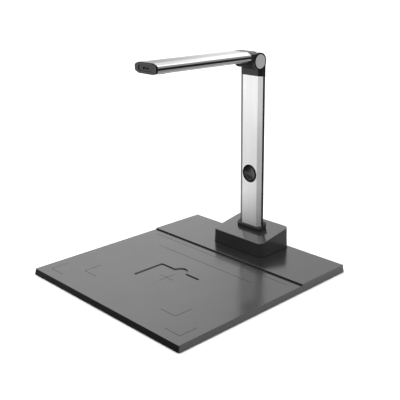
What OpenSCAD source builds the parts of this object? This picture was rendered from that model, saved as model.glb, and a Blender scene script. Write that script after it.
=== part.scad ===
// Desk book scanner: a flat copy board, a wedge foot block, a flat column and a folding camera arm.
// Frame: +Z up, +Y to the rear, origin on the desk under the middle of the board. Lengths in mm.

/* [Copy board] */
// Width of the board across its top face
base_w = 333.4; // [326:0.2:350]
// Depth of the board across its top face
base_d = 341.8; // [336:0.2:360]
// Thickness of the board at the front
base_t = 9; // [8.6:0.1:12]
// How far the foot of each side wall stands out past the top edge
base_flare = 2; // [0.5:0.1:4]
// Height of the rear deck above the copy face
deck_step = 2.3; // [1.6:0.1:4]
// Depth of the rear deck
deck_d = 100.7; // [94:0.1:104]
// Thickness of the moulded top skin
base_skin = 3; // [2.8:0.1:3.4]
// Thickness of the side walls at the top
base_wall = 2.5; // [2:0.1:4]
// Radius of the upright corner edges
base_r = 3; // [1:0.5:4]
// Thickness of the stiffening ribs
rib_t = 1.6; // [1.2:0.1:2.4]
// Thickness of the bottom cover
cover_t = 1.5; // [1.3:0.1:2]
// Play between the cover and the side walls
cover_play = 0.2; // [0.1:0.05:0.5]
// Thickness of the steel ballast plate
ballast_t = 2; // [1.2:0.1:2.2]
// Width of the ballast plate
ballast_w = 240; // [180:1:270]
// Depth of the ballast plate
ballast_d = 120; // [90:1:136]
// Height of the rubber feet below the board
foot_h = 1; // [0.6:0.1:3]
// Diameter of the rubber feet
foot_dia = 14; // [10:0.5:18]
// Depth of the seats the feet are glued into
foot_seat = 0.8; // [0.4:0.1:1]

/* [Copy marks] */
// Distance from the front edge to the middle of the page marks
copy_inset = 122.5; // [120:0.1:124]
// Long side of the larger page
page_l = 297; // [280:0.5:300]
// Short side of the larger page
page_s = 210; // [200:0.5:212]
// Long side of the smaller page
half_l = 210; // [190:0.5:214]
// Short side of the smaller page
half_s = 148; // [140:0.5:152]
// Length of the corner mark arms
mark_arm = 30; // [16:0.5:34]
// Width of the mark lines
mark_w = 1; // [0.6:0.1:1.6]
// Depth of the mark lines
mark_deep = 0.25; // [0.15:0.05:0.4]
// Half length of the centre cross arms
cross_arm = 15; // [8:0.5:20]
// Length of the card pocket
card_l = 86.4; // [86:0.1:92]
// Width of the card pocket
card_s = 56; // [54.5:0.1:62]
// Depth of the card pocket
card_deep = 1.5; // [0.8:0.1:1.6]
// Corner radius of the card pocket
card_r = 3; // [1:0.5:5]
// Diameter of the thumb notch behind the pocket
thumb_dia = 25; // [18:0.5:28]
// Reach of the thumb notch behind the pocket
thumb_reach = 11; // [8:0.5:12]

/* [Foot block] */
// How far the stand sits to the right of the board's middle
stand_x = 3; // [-6:0.5:6]
// Width of the foot block
block_w = 111; // [106:0.5:120]
// Depth of the foot block
block_d = 71.4; // [70:0.2:76]
// Gap from the rear edge of the board to the back of the block
block_gap = 1; // [0.6:0.1:3]
// Height of the block at its front
block_h1 = 22.4; // [21:0.2:26]
// Height of the block at its back
block_h2 = 34.6; // [33:0.2:40]
// How far the block's sides lean in from foot to top
block_draft = 1.2; // [0.6:0.1:2]
// Radius of the block's upright edges
block_r = 10; // [6:0.5:12]
// Wall thickness of the block
block_wall = 2.6; // [2:0.1:3.2]
// Play of the column in the block's top
block_play = 0.25; // [0.15:0.05:0.4]
// How far the collar stands out round the column
collar_proud = 3; // [2:0.1:4]
// Height of the collar at the front of the column
collar_h = 6.4; // [4:0.1:9]
// Rise of the collar's rim from front to back
collar_rise = 7; // [3:0.5:9]
// Play between the collar and the column
collar_play = 0.1; // [0.05:0.01:0.3]

/* [Column] */
// Distance from the front of the block to the face of the column
col_back = 31.3; // [30:0.1:32]
// Width of the column
col_w = 46.8; // [44:0.2:48]
// Depth of the column
col_d = 13.1; // [12.6:0.1:14]
// Bevel of the column along its face
col_bx = 7.4; // [5:0.1:8]
// Bevel of the column along its side
col_by = 3.8; // [3:0.1:4.2]
// Depth of the black side strip
col_strip = 4; // [3:0.1:4.4]
// Wall of the column's metal shells
col_shell = 1.5; // [1.2:0.1:1.7]
// Thickness of the spine's foot plate
plate_t = 4; // [3:0.5:6]
// Outer diameter of the lens dock
dock_dia = 29; // [26:0.2:31]
// Width of the dock's flat rim
dock_rim = 2.6; // [2:0.1:3]
// Depth of the dock's hollow
dock_deep = 3; // [2:0.1:3.2]
// Length of the dock's body
dock_len = 4.2; // [4:0.1:4.6]
// How far the dock's rim stands out of the column
dock_proud = 0.4; // [0.2:0.1:0.6]

/* [Hinge] */
// Clear height from the copy face to the underside of the arm
copy_h = 308.9; // [290:0.5:340]
// Distance of the pivot in front of the column's face
pivot_fore = 2.6; // [2.4:0.1:3.2]
// Height of the pivot above the underside of the arm
pivot_up = 0.6; // [0.2:0.1:0.8]
// Distance from the pivot down to the foot of the hinge cap
cap_h = 24; // [22:0.5:30]
// Radius of the hinge ears
ear_r = 13.5; // [12.6:0.1:14]
// Radius of the far hinge ear
far_ear_r = 12.2; // [11.8:0.1:13.5]
// Thickness of the hinge ears
ear_t = 5.2; // [4.8:0.1:6]
// How far the far ear sits in from the side of the column
far_ear_in = 2; // [0.4:0.1:2.2]
// Diameter of the hinge shaft
shaft_dia = 8; // [6:0.5:9]
// Play of the knuckle on the shaft, measured on the radius
shaft_play = 0.05; // [0.02:0.01:0.1]
// Thickness of the friction washers
washer_t = 1; // [0.6:0.1:1.4]
// Diameter of the friction washers
washer_dia = 17; // [14:0.5:20]
// Side play between a washer and the knuckle
washer_play = 0.3; // [0.25:0.05:0.5]
// Diameter of the silver hinge discs
disc_dia = 22.4; // [20:0.2:23.2]
// Thickness of the hinge discs
disc_t = 1.4; // [1.2:0.1:2]
// Depth of the seats of the hinge discs
disc_seat = 1.3; // [1:0.1:1.4]
// Radius of the knuckle's barrel
knuckle_r = 12; // [11:0.1:13.1]
// Gap between the knuckle's barrel and the top of the cap
cap_play = 0.4; // [0.3:0.1:0.8]
// Gap between the knuckle's shoulder and the ears
knuckle_gap = 0.7; // [0.4:0.1:1.2]

/* [Arm] */
// Thickness of the arm
arm_t = 15.6; // [15.2:0.1:17]
// Bevel of the arm along its top
arm_bx = 8.1; // [6:0.1:9]
// Bevel of the arm along its side
arm_by = 3.2; // [2.6:0.1:3.6]
// Height of the black strip round the arm
arm_strip = 2.8; // [2:0.1:3.4]
// Wall of the arm's metal shells
arm_shell = 1.5; // [1.2:0.1:1.8]
// Distance from the pivot to the near end of the shells
arm_near = 21; // [20:0.5:24]
// Wall of the arm's inner frame
core_wall = 2; // [1.6:0.1:2.4]
// Distance from the pivot to the rear of the knuckle's raised top
neck_back = 3; // [2:0.5:8]
// Length of the knuckle's tongue inside the arm
tongue_l = 20; // [16:0.5:24]
// Thickness of the end cap
tip_t = 2.7; // [2.4:0.1:3.2]
// Length of the sunk panel in the end cap
panel_l = 30; // [26:0.5:32]
// Height of the sunk panel in the end cap
panel_h = 8; // [6.5:0.1:9]
// Depth of the sunk panel in the end cap
panel_deep = 0.6; // [0.4:0.1:0.8]

/* [Camera and lamp] */
// Distance from the pivot to the lens axis and to the middle of the dock
lens_reach = 184.2; // [180:0.2:186]
// Outer diameter of the lens ring
ring_dia = 22; // [18:0.2:23]
// How far the lens ring stands below the arm
ring_proud = 1.3; // [0.6:0.1:1.4]
// Diameter of the lens barrel
barrel_dia = 14; // [11:0.2:15]
// Diameter of the front lens
glass_dia = 10; // [7:0.2:10.4]
// Thickness of the front lens
glass_t = 1.4; // [1:0.1:1.8]
// Gap between the camera board and the lip of the end cap
cam_gap = 1.6; // [1:0.1:6]
// Side of the camera board
cam_side = 30; // [26:0.5:31]
// Thickness of the circuit boards
board_t = 1.2; // [1:0.1:1.6]
// Side of the image sensor
sensor_side = 7; // [5:0.2:7.4]
// Length of the lamp window
lamp_l = 28; // [20:0.5:30]
// Width of the lamp window
lamp_s = 9; // [6:0.2:11]
// Distance from the lens axis to the middle of the lamp window
lamp_off = 28; // [26:0.5:34]
// Diameter of the lamp key
key_dia = 3; // [2.4:0.1:3.6]
// Play of the lamp key in its hole, measured on the radius
key_play = 0.08; // [0.05:0.01:0.1]
// How far the lamp key stands out of the sunk panel
key_out = 0.9; // [0.8:0.1:1.2]
// Distance of the lamp key to the left of the arm's middle
key_x = 3.4; // [2.4:0.2:6]
// Length of the indicator window
glow_l = 5; // [3.6:0.2:6]
// Height of the indicator window
glow_h = 1.8; // [1.2:0.1:2.4]

/* [Connector] */
// Width of the cable socket's shell
usb_w = 12; // [11.6:0.1:12.6]
// Height of the cable socket's shell
usb_h = 10.8; // [10.4:0.1:11.4]
// Length of the cable socket's shell
usb_l = 16; // [15:0.1:17]
// Sheet thickness of the cable socket's shell
usb_sheet = 0.6; // [0.4:0.05:0.8]
// Distance of the socket to the left of the stand's middle
usb_x = 15; // [10:0.5:18]

/* [Hidden] */
screw_dia = 3;
screw_head = 5.6;
screw_head_t = 1.6;
small_dia = 2;
small_head = 3.8;
small_head_t = 0.9;
chip_s = 9;
small_chip = 6;
chip_t = 1.2;
chip_x = 3;
chip_in = 4;
chip_gap = 5;
wire_in = 8;
wire_y = 5.6;
wire_d = 3.4;
tab_play = 0.2;
tab_t = wire_d - 2 * tab_play;
tab_w = 9;
tab_l = 20;
tab_drop = 14;
plate_fore = 14;
foot_in_x = 27;
boss_in_x = 11;
boss_in_y = 9;
pillar_in_x = 11;
pillar_in_y = 12;
plate_in = 7;
post_in = 4;
foot_in_y = 26;
post_h = 3.7;
post_bite = 3;
eps = 0.01;
$fn = 40;
board_top = foot_h + base_t;
deck_z = board_top + deck_step;
cover_top = foot_h + cover_t;
cav_w = base_w - 2 * base_wall;
cav_d = base_d - 2 * base_wall;
copy_y = copy_inset - base_d / 2;
step_y = base_d / 2 - deck_d;
block_y2 = base_d / 2 - block_gap;
block_y1 = block_y2 - block_d;
col_y = block_y1 + col_back;
col_mid = col_y + col_d / 2;
pivot_y = col_y - pivot_fore;
pivot_z = board_top + copy_h + pivot_up;
cap_z = pivot_z - cap_h;
spine_z = deck_z + plate_t;
dock_z = pivot_z - lens_reach;
arm_mid = arm_t / 2 - pivot_up;
arm_w = col_w;
lip_l = 3;
cam_bay = 40;
bay_web = 6;
tongue_room = 4;
arm_reach = lens_reach + cam_side / 2 + cam_gap + lip_l + tip_t;
shell_end = arm_reach - tip_t;
shell_l = shell_end - arm_near;
ear_in = col_w / 2 - ear_t;
knuckle_hw = ear_in - washer_t - washer_play;
shoulder = ear_r + knuckle_gap;
cap_top = knuckle_r + cap_play;
core_in_w = arm_w - 2 * arm_shell - 2 * core_wall;
core_in_h = arm_t - 2 * arm_shell - 2 * core_wall;
floor_h = arm_shell + core_wall;
cam_h = arm_t - arm_shell - core_wall - board_t - 1;
pcb_z = deck_z + post_h;
pcb_y1 = col_y + col_d + 4.4;
pcb_y2 = block_y2 - block_wall - 1;
pcb_hx = 35;
post_dia = 6;
boss_dia = 8;
ballast_z = cover_top + ballast_t;
plate_hx = 36;
plate_y1 = col_y - plate_fore;
plate_y2 = col_y + col_d + 2.6;
usb_y2 = block_y2 - 0.8;
base_pts = [
    [-base_w / 2 + boss_in_x, -base_d / 2 + boss_in_y], [base_w / 2 - boss_in_x, -base_d / 2 + boss_in_y],
    [-base_w / 2 + boss_in_x, 0], [base_w / 2 - boss_in_x, 0],
    [-base_w / 2 + boss_in_x, base_d / 2 - boss_in_y], [base_w / 2 - boss_in_x, base_d / 2 - boss_in_y],
    [0, -base_d / 2 + boss_in_y]
];
foot_pts = [
    [-base_w / 2 + foot_in_x, -base_d / 2 + foot_in_y], [base_w / 2 - foot_in_x, -base_d / 2 + foot_in_y],
    [-base_w / 2 + foot_in_x, base_d / 2 - foot_in_y], [base_w / 2 - foot_in_x, base_d / 2 - foot_in_y]
];
block_pts = [
    [-block_w / 2 + pillar_in_x, block_y1 + pillar_in_y], [block_w / 2 - pillar_in_x, block_y1 + pillar_in_y],
    [-block_w / 2 + pillar_in_x, block_y2 - pillar_in_y], [block_w / 2 - pillar_in_x, block_y2 - pillar_in_y]
];
plate_pts = [
    [-plate_hx + plate_in, plate_y1 + plate_in - 1], [plate_hx - plate_in, plate_y1 + plate_in - 1],
    [-plate_hx + plate_in - 2, col_mid], [plate_hx - plate_in + 2, col_mid]
];
post_pts = [
    [-pcb_hx + post_in, pcb_y1 + post_in], [pcb_hx - post_in, pcb_y1 + post_in],
    [-pcb_hx + post_in, pcb_y2 - post_in], [pcb_hx - post_in, pcb_y2 - post_in]
];
col_screw_x = 11;
col_screw_top = 40;
col_screw_low = 60;
col_pts = [
    [-col_screw_x, cap_z - col_screw_top], [col_screw_x, cap_z - col_screw_top],
    [-col_screw_x, spine_z + col_screw_low], [col_screw_x, spine_z + col_screw_low]
];
arm_screw_x = 13;
arm_screw_near = 26;
arm_screw_far = 52;
arm_pts = [
    [-arm_screw_x, arm_near + arm_screw_near], [arm_screw_x, arm_near + arm_screw_near],
    [-arm_screw_x, lens_reach - arm_screw_far], [arm_screw_x, lens_reach - arm_screw_far]
];
tongue_screw_x = 8;
tongue_pts = [[-tongue_screw_x, arm_near + tongue_l / 2], [tongue_screw_x, arm_near + tongue_l / 2]];
block_bite = 9;
cap_screw_x = 10;
led_xs = [-9, -3, 3, 9];

// Inset of an octagon's bevels when its outline moves in by t
function bevel_x(bx, by, t) = bx - t + t * (norm([bx, by]) - bx) / by;
function bevel_y(bx, by, t) = by - t + t * (norm([bx, by]) - by) / bx;

// Octagon outline, centred across, depth from 0
function octagon(w, d, bx, by) = [
    [-w / 2 + bx, 0], [w / 2 - bx, 0], [w / 2, by], [w / 2, d - by],
    [w / 2 - bx, d], [-w / 2 + bx, d], [-w / 2, d - by], [-w / 2, by]
];

// Radius, outer face and thickness of the hinge ear on one side
function ear_rad(s) = s > 0 ? ear_r : far_ear_r;
function ear_out(s) = s > 0 ? col_w / 2 : col_w / 2 - far_ear_in;
function ear_len(s) = ear_out(s) - ear_in;
// Height of the block's sloping top at a given depth
function block_top(y) = deck_z + block_h1
    + (block_h2 - block_h1) * (y - block_y1 - block_draft) / (block_d - 2 * block_draft);

// Solid with a side outline drawn in depth and height, centred across
module across(w, pts) {
    translate([-w / 2, 0, 0])
        rotate([90, 0, 90])
            linear_extrude(w)
                polygon(pts);
}

// Solid with a front outline drawn in width and height, from y1 to y2
module along(y1, y2, pts) {
    translate([0, y2, 0])
        rotate([90, 0, 0])
            linear_extrude(y2 - y1)
                polygon(pts);
}

// Upright block with round corners, centred across, from y1 to y2 and z1 to z2
module round_block(w, y1, y2, z1, z2, r) {
    translate([-w / 2 + r, y1, z1])
        cube([w - 2 * r, y2 - y1, z2 - z1]);
    translate([-w / 2, y1 + r, z1])
        cube([w, y2 - y1 - 2 * r, z2 - z1]);
    for (x = [-w / 2 + r, w / 2 - r], y = [y1 + r, y2 - r])
        translate([x, y, z1])
            cylinder(r = r, h = z2 - z1);
}

// Flat-head screw pointing up with its head face at height z
module screw_up(p, z, len) {
    translate([p[0], p[1], z])
        cylinder(d = screw_head, h = screw_head_t);
    translate([p[0], p[1], z])
        cylinder(d = screw_dia, h = len);
}

// Rod lying across the stand, centred
module rod_x(dia, len) {
    rotate([0, 90, 0])
        cylinder(d = dia, h = len, center = true);
}

// Rod pointing to the rear from the front plane
module rod_y(dia, len) {
    rotate([-90, 0, 0])
        cylinder(d = dia, h = len);
}

// Places a drawing in the column's own frame: face at 0, depth to the rear
module at_column(z) {
    translate([stand_x, col_y, z])
        children();
}

// Places a drawing in the arm's own frame: pivot at the origin
module at_pivot() {
    translate([stand_x, pivot_y, pivot_z])
        children();
}

// Upright column section between two heights
module col_bar(z1, z2, grow) {
    at_column(z1)
        translate([0, -grow, 0])
            linear_extrude(z2 - z1)
                polygon(octagon(col_w + 2 * grow, col_d + 2 * grow,
                    bevel_x(col_bx, col_by, -grow), bevel_y(col_bx, col_by, -grow)));
}

// Lengthwise arm section from distance v1 to v2 ahead of the pivot, moved in by t
module arm_bar(v1, v2, t) {
    translate([0, -v1, -pivot_up + t])
        rotate([90, 0, 0])
            linear_extrude(v2 - v1)
                polygon(octagon(arm_w - 2 * t, arm_t - 2 * t,
                    bevel_x(arm_bx, arm_by, t), bevel_y(arm_bx, arm_by, t)));
}

// Box in the arm's frame, centred across: half width, distances ahead, heights above the underside
module arm_box(hx, v1, v2, h1, h2) {
    translate([-hx, -v2, h1 - pivot_up])
        cube([2 * hx, v2 - v1, h2 - h1]);
}

// Upright rod in the arm's frame: distance ahead, heights above the underside
module arm_rod(x, v, dia, h1, h2) {
    translate([x, -v, h1 - pivot_up])
        cylinder(d = dia, h = h2 - h1);
}

// Outer form of the foot block, moved in by t on every face but the bottom
module block_form(t) {
    y1 = block_y1 + t;
    y2 = block_y2 - t;
    hw = block_w / 2 - t;
    top = deck_z + block_h2 + 5;
    translate([stand_x, 0, 0])
        intersection() {
            across(2 * block_w, [
                [y1, deck_z], [y2, deck_z],
                [y2 - block_draft, block_top(block_y2 - block_draft) - t],
                [y1 + block_draft, block_top(block_y1 + block_draft) - t]
            ]);
            along(y1 - 5, y2 + 5, [
                [-hw, deck_z], [hw, deck_z], [hw - block_draft, top], [-hw + block_draft, top]
            ]);
            round_block(2 * hw, y1, y2, deck_z, top, block_r - t);
        }
}

// One mark line as a groove cut from a face at height z
module groove(x1, x2, y1, y2, z) {
    translate([x1 - mark_w / 2, copy_y + y1 - mark_w / 2, z - mark_deep])
        cube([x2 - x1 + mark_w, y2 - y1 + mark_w, mark_deep + 1]);
}

// Page mark: corner angles at the front, one full line at the back
module page_mark(l, s) {
    hx = l / 2;
    hy = s / 2;
    groove(-hx, -hx + mark_arm, -hy, -hy, board_top);
    groove(hx - mark_arm, hx, -hy, -hy, board_top);
    groove(-hx, -hx, -hy, -hy + mark_arm, board_top);
    groove(hx, hx, -hy, -hy + mark_arm, board_top);
    groove(-hx, hx, hy, hy, board_top);
}

// Moulded copy board with the raised rear deck, page marks and card pocket
module base_board() {
    hx = base_w / 2;
    hy = base_d / 2;
    color([0.15, 0.15, 0.155])
    difference() {
        union() {
            difference() {
                intersection() {
                    across(2 * base_w, [
                        [-hy - base_flare, foot_h], [hy + base_flare, foot_h], [hy, board_top],
                        [hy, deck_z], [step_y, deck_z], [step_y, board_top], [-hy, board_top]
                    ]);
                    along(-hy - 10, hy + 10, [
                        [-hx - base_flare, foot_h], [hx + base_flare, foot_h], [hx, board_top],
                        [hx, deck_z], [-hx, deck_z], [-hx, board_top]
                    ]);
                    round_block(base_w + 2 * base_flare, -hy - base_flare, hy + base_flare,
                        foot_h, deck_z, base_r);
                }
                translate([-cav_w / 2, -cav_d / 2, foot_h - 1])
                    cube([cav_w, cav_d, base_t - base_skin + 1]);
                translate([-cav_w / 2, step_y + base_skin, foot_h - 1])
                    cube([cav_w, cav_d / 2 - step_y - base_skin, deck_z - base_skin - foot_h + 1]);
            }
            for (p = base_pts)
                translate([p[0], p[1], cover_top])
                    cylinder(d = boss_dia, h = (p[1] > step_y ? deck_z : board_top) - base_skin / 2 - cover_top);
            for (x = [-base_w / 4, 0, base_w / 4])
                translate([x - rib_t / 2, -cav_d / 2 - eps, ballast_z])
                    cube([rib_t, cav_d / 2 + step_y, board_top - base_skin / 2 - ballast_z]);
            for (y = [-base_d / 3, -base_d / 9, base_d / 9])
                translate([-cav_w / 2 - eps, y - rib_t / 2, ballast_z])
                    cube([cav_w + 2 * eps, rib_t, board_top - base_skin / 2 - ballast_z]);
            for (p = post_pts)
                translate([stand_x + p[0], p[1], deck_z - eps])
                    cylinder(d = post_dia, h = pcb_z - deck_z + eps);
        }
        page_mark(page_l, page_s);
        page_mark(half_l, half_s);
        translate([0, copy_y, 0]) {
            round_block(card_l, -card_s / 2, card_s / 2, board_top - card_deep, board_top + 1, card_r);
            translate([0, card_s / 2 + thumb_reach - thumb_dia / 2, board_top - card_deep])
                cylinder(d = thumb_dia, h = card_deep + 1);
        }
        groove(-cross_arm, cross_arm, 0, 0, board_top - card_deep);
        groove(0, 0, -cross_arm, cross_arm, board_top - card_deep);
        for (p = base_pts)
            translate([p[0], p[1], cover_top - 1])
                cylinder(d = screw_dia, h = 5 + 1);
        for (p = concat(block_pts, plate_pts))
            translate([stand_x + p[0], p[1], deck_z - base_skin - 1])
                cylinder(d = screw_dia, h = base_skin + 2);
        for (p = post_pts)
            translate([stand_x + p[0], p[1], pcb_z - 4])
                cylinder(d = small_dia, h = 5);
    }
}

// Flat bottom cover with seats for the feet and for the screw heads
module base_cover() {
    color([0.1, 0.1, 0.1])
    difference() {
        translate([-cav_w / 2 + cover_play, -cav_d / 2 + cover_play, foot_h])
            cube([cav_w - 2 * cover_play, cav_d - 2 * cover_play, cover_t]);
        for (p = foot_pts)
            translate([p[0], p[1], foot_h - 1])
                cylinder(d = foot_dia, h = foot_seat + 1);
        for (p = base_pts) {
            translate([p[0], p[1], foot_h - 1])
                cylinder(d = small_head, h = small_head_t + 1);
            translate([p[0], p[1], foot_h])
                cylinder(d = screw_dia, h = cover_t + 1);
        }
    }
}

// Steel plate that weighs the board down
module ballast_plate() {
    color([0.5, 0.5, 0.52])
    translate([-ballast_w / 2, -ballast_d / 2, cover_top])
        cube([ballast_w, ballast_d, ballast_t]);
}

// Four rubber feet glued into the cover
module rubber_feet() {
    color([0.05, 0.05, 0.05])
    for (p = foot_pts)
        translate([p[0], p[1], 0])
            cylinder(d = foot_dia, h = foot_h + foot_seat);
}

// Screws that hold the bottom cover
module base_screws() {
    color([0.45, 0.45, 0.45])
    for (p = base_pts) {
        translate([p[0], p[1], foot_h])
            cylinder(d = small_head, h = small_head_t);
        translate([p[0], p[1], foot_h])
            cylinder(d = screw_dia, h = cover_t + 5);
    }
}

// Hollow wedge block with the column opening, screw bosses and the socket opening
module foot_block() {
    color([0.09, 0.09, 0.09])
    difference() {
        union() {
            difference() {
                block_form(0);
                translate([0, 0, -eps])
                    block_form(block_wall);
            }
            intersection() {
                block_form(block_wall / 2);
                for (p = block_pts)
                    translate([stand_x + p[0], p[1], deck_z])
                        cylinder(d = boss_dia, h = block_h2);
            }
        }
        col_bar(spine_z, deck_z + block_h2 + 5, block_play);
        for (p = block_pts)
            translate([stand_x + p[0], p[1], deck_z - 1])
                cylinder(d = screw_dia, h = block_bite + 2);
        translate([stand_x - usb_x - usb_w / 2 - block_play, usb_y2 - usb_l / 2, pcb_z + board_t - block_play])
            cube([usb_w + 2 * block_play, usb_l, usb_h + 2 * block_play]);
    }
}

// Screws from below the deck into the block's bosses
module block_screws() {
    color([0.45, 0.45, 0.45])
    translate([stand_x, 0, 0])
        for (p = block_pts)
            screw_up(p, deck_z - base_skin - screw_head_t, screw_head_t + base_skin + block_bite);
}

// Black collar round the foot of the column, rim rising to the rear
module stand_collar() {
    y1 = col_y - collar_proud;
    y2 = col_y + col_d + collar_proud;
    color([0.05, 0.05, 0.05])
    difference() {
        translate([stand_x, 0, 0])
            intersection() {
                round_block(col_w + 2 * collar_proud, y1, y2, deck_z, cap_z, 5);
                across(2 * col_w, [
                    [y1, block_top(y1)], [y2, block_top(y2)],
                    [y2, block_top(col_y) + collar_h + collar_rise], [y1, block_top(col_y) + collar_h]
                ]);
            }
        col_bar(deck_z, cap_z, collar_play);
    }
}

// One metal shell of the column: hollow section kept between two depths
module col_shell_part(v1, v2, hole) {
    at_column(0)
    difference() {
        translate([0, 0, spine_z])
            linear_extrude(cap_z - spine_z)
                intersection() {
                    difference() {
                        polygon(octagon(col_w, col_d, col_bx, col_by));
                        translate([0, col_shell])
                            polygon(octagon(col_w - 2 * col_shell, col_d - 2 * col_shell,
                                bevel_x(col_bx, col_by, col_shell), bevel_y(col_bx, col_by, col_shell)));
                    }
                    translate([-col_w, v1])
                        square([2 * col_w, v2 - v1]);
                }
        if (hole)
            translate([0, -1, dock_z])
                rod_y(dock_dia, col_shell + 3);
        if (!hole)
            for (p = col_pts) {
                translate([p[0], col_d - small_head_t, p[1]])
                    rod_y(small_head, 2);
                translate([p[0], col_d - 3, p[1]])
                    rod_y(small_dia, 4);
            }
    }
}

// Bright front shell of the column
module column_front_shell() {
    color([0.82, 0.82, 0.83])
        col_shell_part(-1, col_by, true);
}

// Bright rear shell of the column
module column_rear_shell() {
    color([0.8, 0.8, 0.81])
        col_shell_part(col_by + col_strip, col_d + 1, false);
}

// Black spine between the shells, showing at the sides, on a screwed foot plate
module column_spine() {
    color([0.05, 0.05, 0.05])
    difference() {
        union() {
            at_column(spine_z - eps) {
                translate([0, col_shell, 0])
                    linear_extrude(cap_z - spine_z + eps)
                        polygon(octagon(col_w - 2 * col_shell, col_d - 2 * col_shell,
                            bevel_x(col_bx, col_by, col_shell), bevel_y(col_bx, col_by, col_shell)));
                translate([-col_w / 2, col_by, 0])
                    cube([col_w, col_strip, cap_z - spine_z + eps]);
            }
            translate([stand_x, 0, 0])
                round_block(2 * plate_hx, plate_y1, plate_y2, deck_z, spine_z, 4);
        }
        at_column(deck_z - 1)
            translate([-col_w / 2 + wire_in, wire_y, 0])
                cube([col_w - 2 * wire_in, wire_d, cap_z - deck_z + 2]);
        at_column(dock_z)
            translate([0, -1, 0])
                rod_y(dock_dia, dock_len - dock_proud + 1);
        for (p = plate_pts)
            translate([stand_x + p[0], p[1], deck_z - 1])
                cylinder(d = screw_dia, h = plate_t + 2);
        at_column(0)
            for (p = col_pts)
                translate([p[0], col_d - 4, p[1]])
                    rod_y(small_dia, 5);
        at_column(cap_z - 8)
            for (x = [-cap_screw_x, cap_screw_x])
                translate([x, col_d - 8, 0])
                    rod_y(small_dia, 5);
    }
}

// Screws that hold the rear shell to the spine
module column_screws() {
    color([0.4, 0.4, 0.4])
    at_column(0)
        for (p = col_pts) {
            translate([p[0], col_d - small_head_t, p[1]])
                rod_y(small_head, small_head_t);
            translate([p[0], col_d - 4, p[1]])
                rod_y(small_dia, 4);
        }
}

// Screws from below the deck into the spine's foot plate
module plate_screws() {
    color([0.45, 0.45, 0.45])
    translate([stand_x, 0, 0])
        for (p = plate_pts)
            screw_up(p, deck_z - base_skin - screw_head_t, screw_head_t + base_skin + plate_t);
}

// Round black dock in the column's face that takes the lens ring of the folded arm
module lens_dock() {
    hollow = dock_dia / 2 - dock_rim;
    ball = (hollow * hollow + dock_deep * dock_deep) / (2 * dock_deep);
    color([0.03, 0.03, 0.03])
    at_column(dock_z)
        difference() {
            translate([0, -dock_proud, 0])
                rod_y(dock_dia, dock_len);
            translate([0, dock_deep - dock_proud - ball, 0])
                sphere(r = ball, $fn = 72);
        }
}

// Black cap on the column with the two hinge ears and a tenon down into the spine
module hinge_cap() {
    color([0.07, 0.07, 0.07])
    difference() {
        union() {
            difference() {
                col_bar(cap_z, pivot_z - cap_top, 0);
                at_column(cap_z - 1)
                    translate([-col_w / 2 + wire_in + 1, wire_y + tab_play, 0])
                        cube([col_w - 2 * wire_in - 2, tab_t, cap_h]);
            }
            for (s = [-1, 1])
                at_pivot()
                    translate([s > 0 ? ear_in : -ear_out(s), 0, 0]) {
                        translate([ear_len(s) / 2, 0, 0])
                            rod_x(2 * ear_rad(s), ear_len(s));
                        translate([0, pivot_fore + col_by, -cap_h])
                            cube([ear_len(s), col_d - 2 * col_by, cap_h]);
                        translate([0, pivot_fore, -cap_top - eps])
                            cube([ear_len(s), col_d - col_by, cap_top]);
                    }
            for (s = [-1, 1])
                at_column(cap_z - tab_drop)
                    translate([s * cap_screw_x - tab_w / 2, wire_y + tab_play, 0])
                        cube([tab_w, tab_t, tab_l]);
        }
        at_pivot() {
            rod_x(shaft_dia, col_w + 10);
            for (s = [-1, 1])
                translate([s * (ear_out(s) - disc_seat + 5), 0, 0])
                    rod_x(disc_dia, 10);
        }
        at_column(cap_z - 8)
            for (x = [-cap_screw_x, cap_screw_x])
                translate([x, col_d - 8, 0])
                    rod_y(small_dia, 5);
    }
}

// Screws through the spine into the cap's tenons
module cap_screws() {
    color([0.4, 0.4, 0.4])
    at_column(cap_z - 8)
        for (x = [-cap_screw_x, cap_screw_x])
            translate([x, col_d - 8, 0])
                rod_y(small_dia, 8 - col_shell - 2);
}

// Steel shaft pressed into both ears
module hinge_shaft() {
    color([0.6, 0.6, 0.62])
    at_pivot()
        translate([far_ear_in / 2, 0, 0])
            rod_x(shaft_dia, col_w - far_ear_in - 2 * disc_seat);
}

// Spring washers that hold the arm at any angle
module friction_washers() {
    color([0.55, 0.55, 0.5])
    at_pivot()
        for (s = [-1, 1])
            translate([s * (ear_in - washer_t / 2), 0, 0])
                difference() {
                    rod_x(washer_dia, washer_t);
                    rod_x(shaft_dia, washer_t + 2);
                }
}

// Silver discs that close the ends of the hinge
module hinge_discs() {
    color([0.7, 0.7, 0.7])
    at_pivot()
        for (s = [-1, 1])
            translate([s * (ear_out(s) - disc_seat + disc_t / 2), 0, 0])
                rod_x(disc_dia, disc_t);
}

// Circuit board in the foot block with its larger chips
module main_board() {
    color([0.05, 0.25, 0.12])
    translate([stand_x, 0, 0])
        difference() {
            union() {
                translate([-pcb_hx, pcb_y1, pcb_z])
                    cube([2 * pcb_hx, pcb_y2 - pcb_y1, board_t]);
                translate([chip_x, pcb_y1 + chip_in, pcb_z + board_t - eps])
                    cube([chip_s, chip_s, chip_t]);
                translate([chip_x + chip_s + chip_gap, pcb_y1 + chip_in, pcb_z + board_t - eps])
                    cube([small_chip, small_chip, chip_t]);
            }
            for (p = post_pts)
                translate([p[0], p[1], pcb_z - 1])
                    cylinder(d = small_dia, h = board_t + 2);
        }
}

// Screws that hold the circuit board to its posts
module board_screws() {
    color([0.6, 0.6, 0.6])
    translate([stand_x, 0, pcb_z + board_t])
        for (p = post_pts) {
            translate([p[0], p[1], 0])
                cylinder(d = small_head, h = small_head_t);
            translate([p[0], p[1], -board_t - post_bite])
                cylinder(d = small_dia, h = board_t + post_bite + small_head_t);
        }
}

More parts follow.
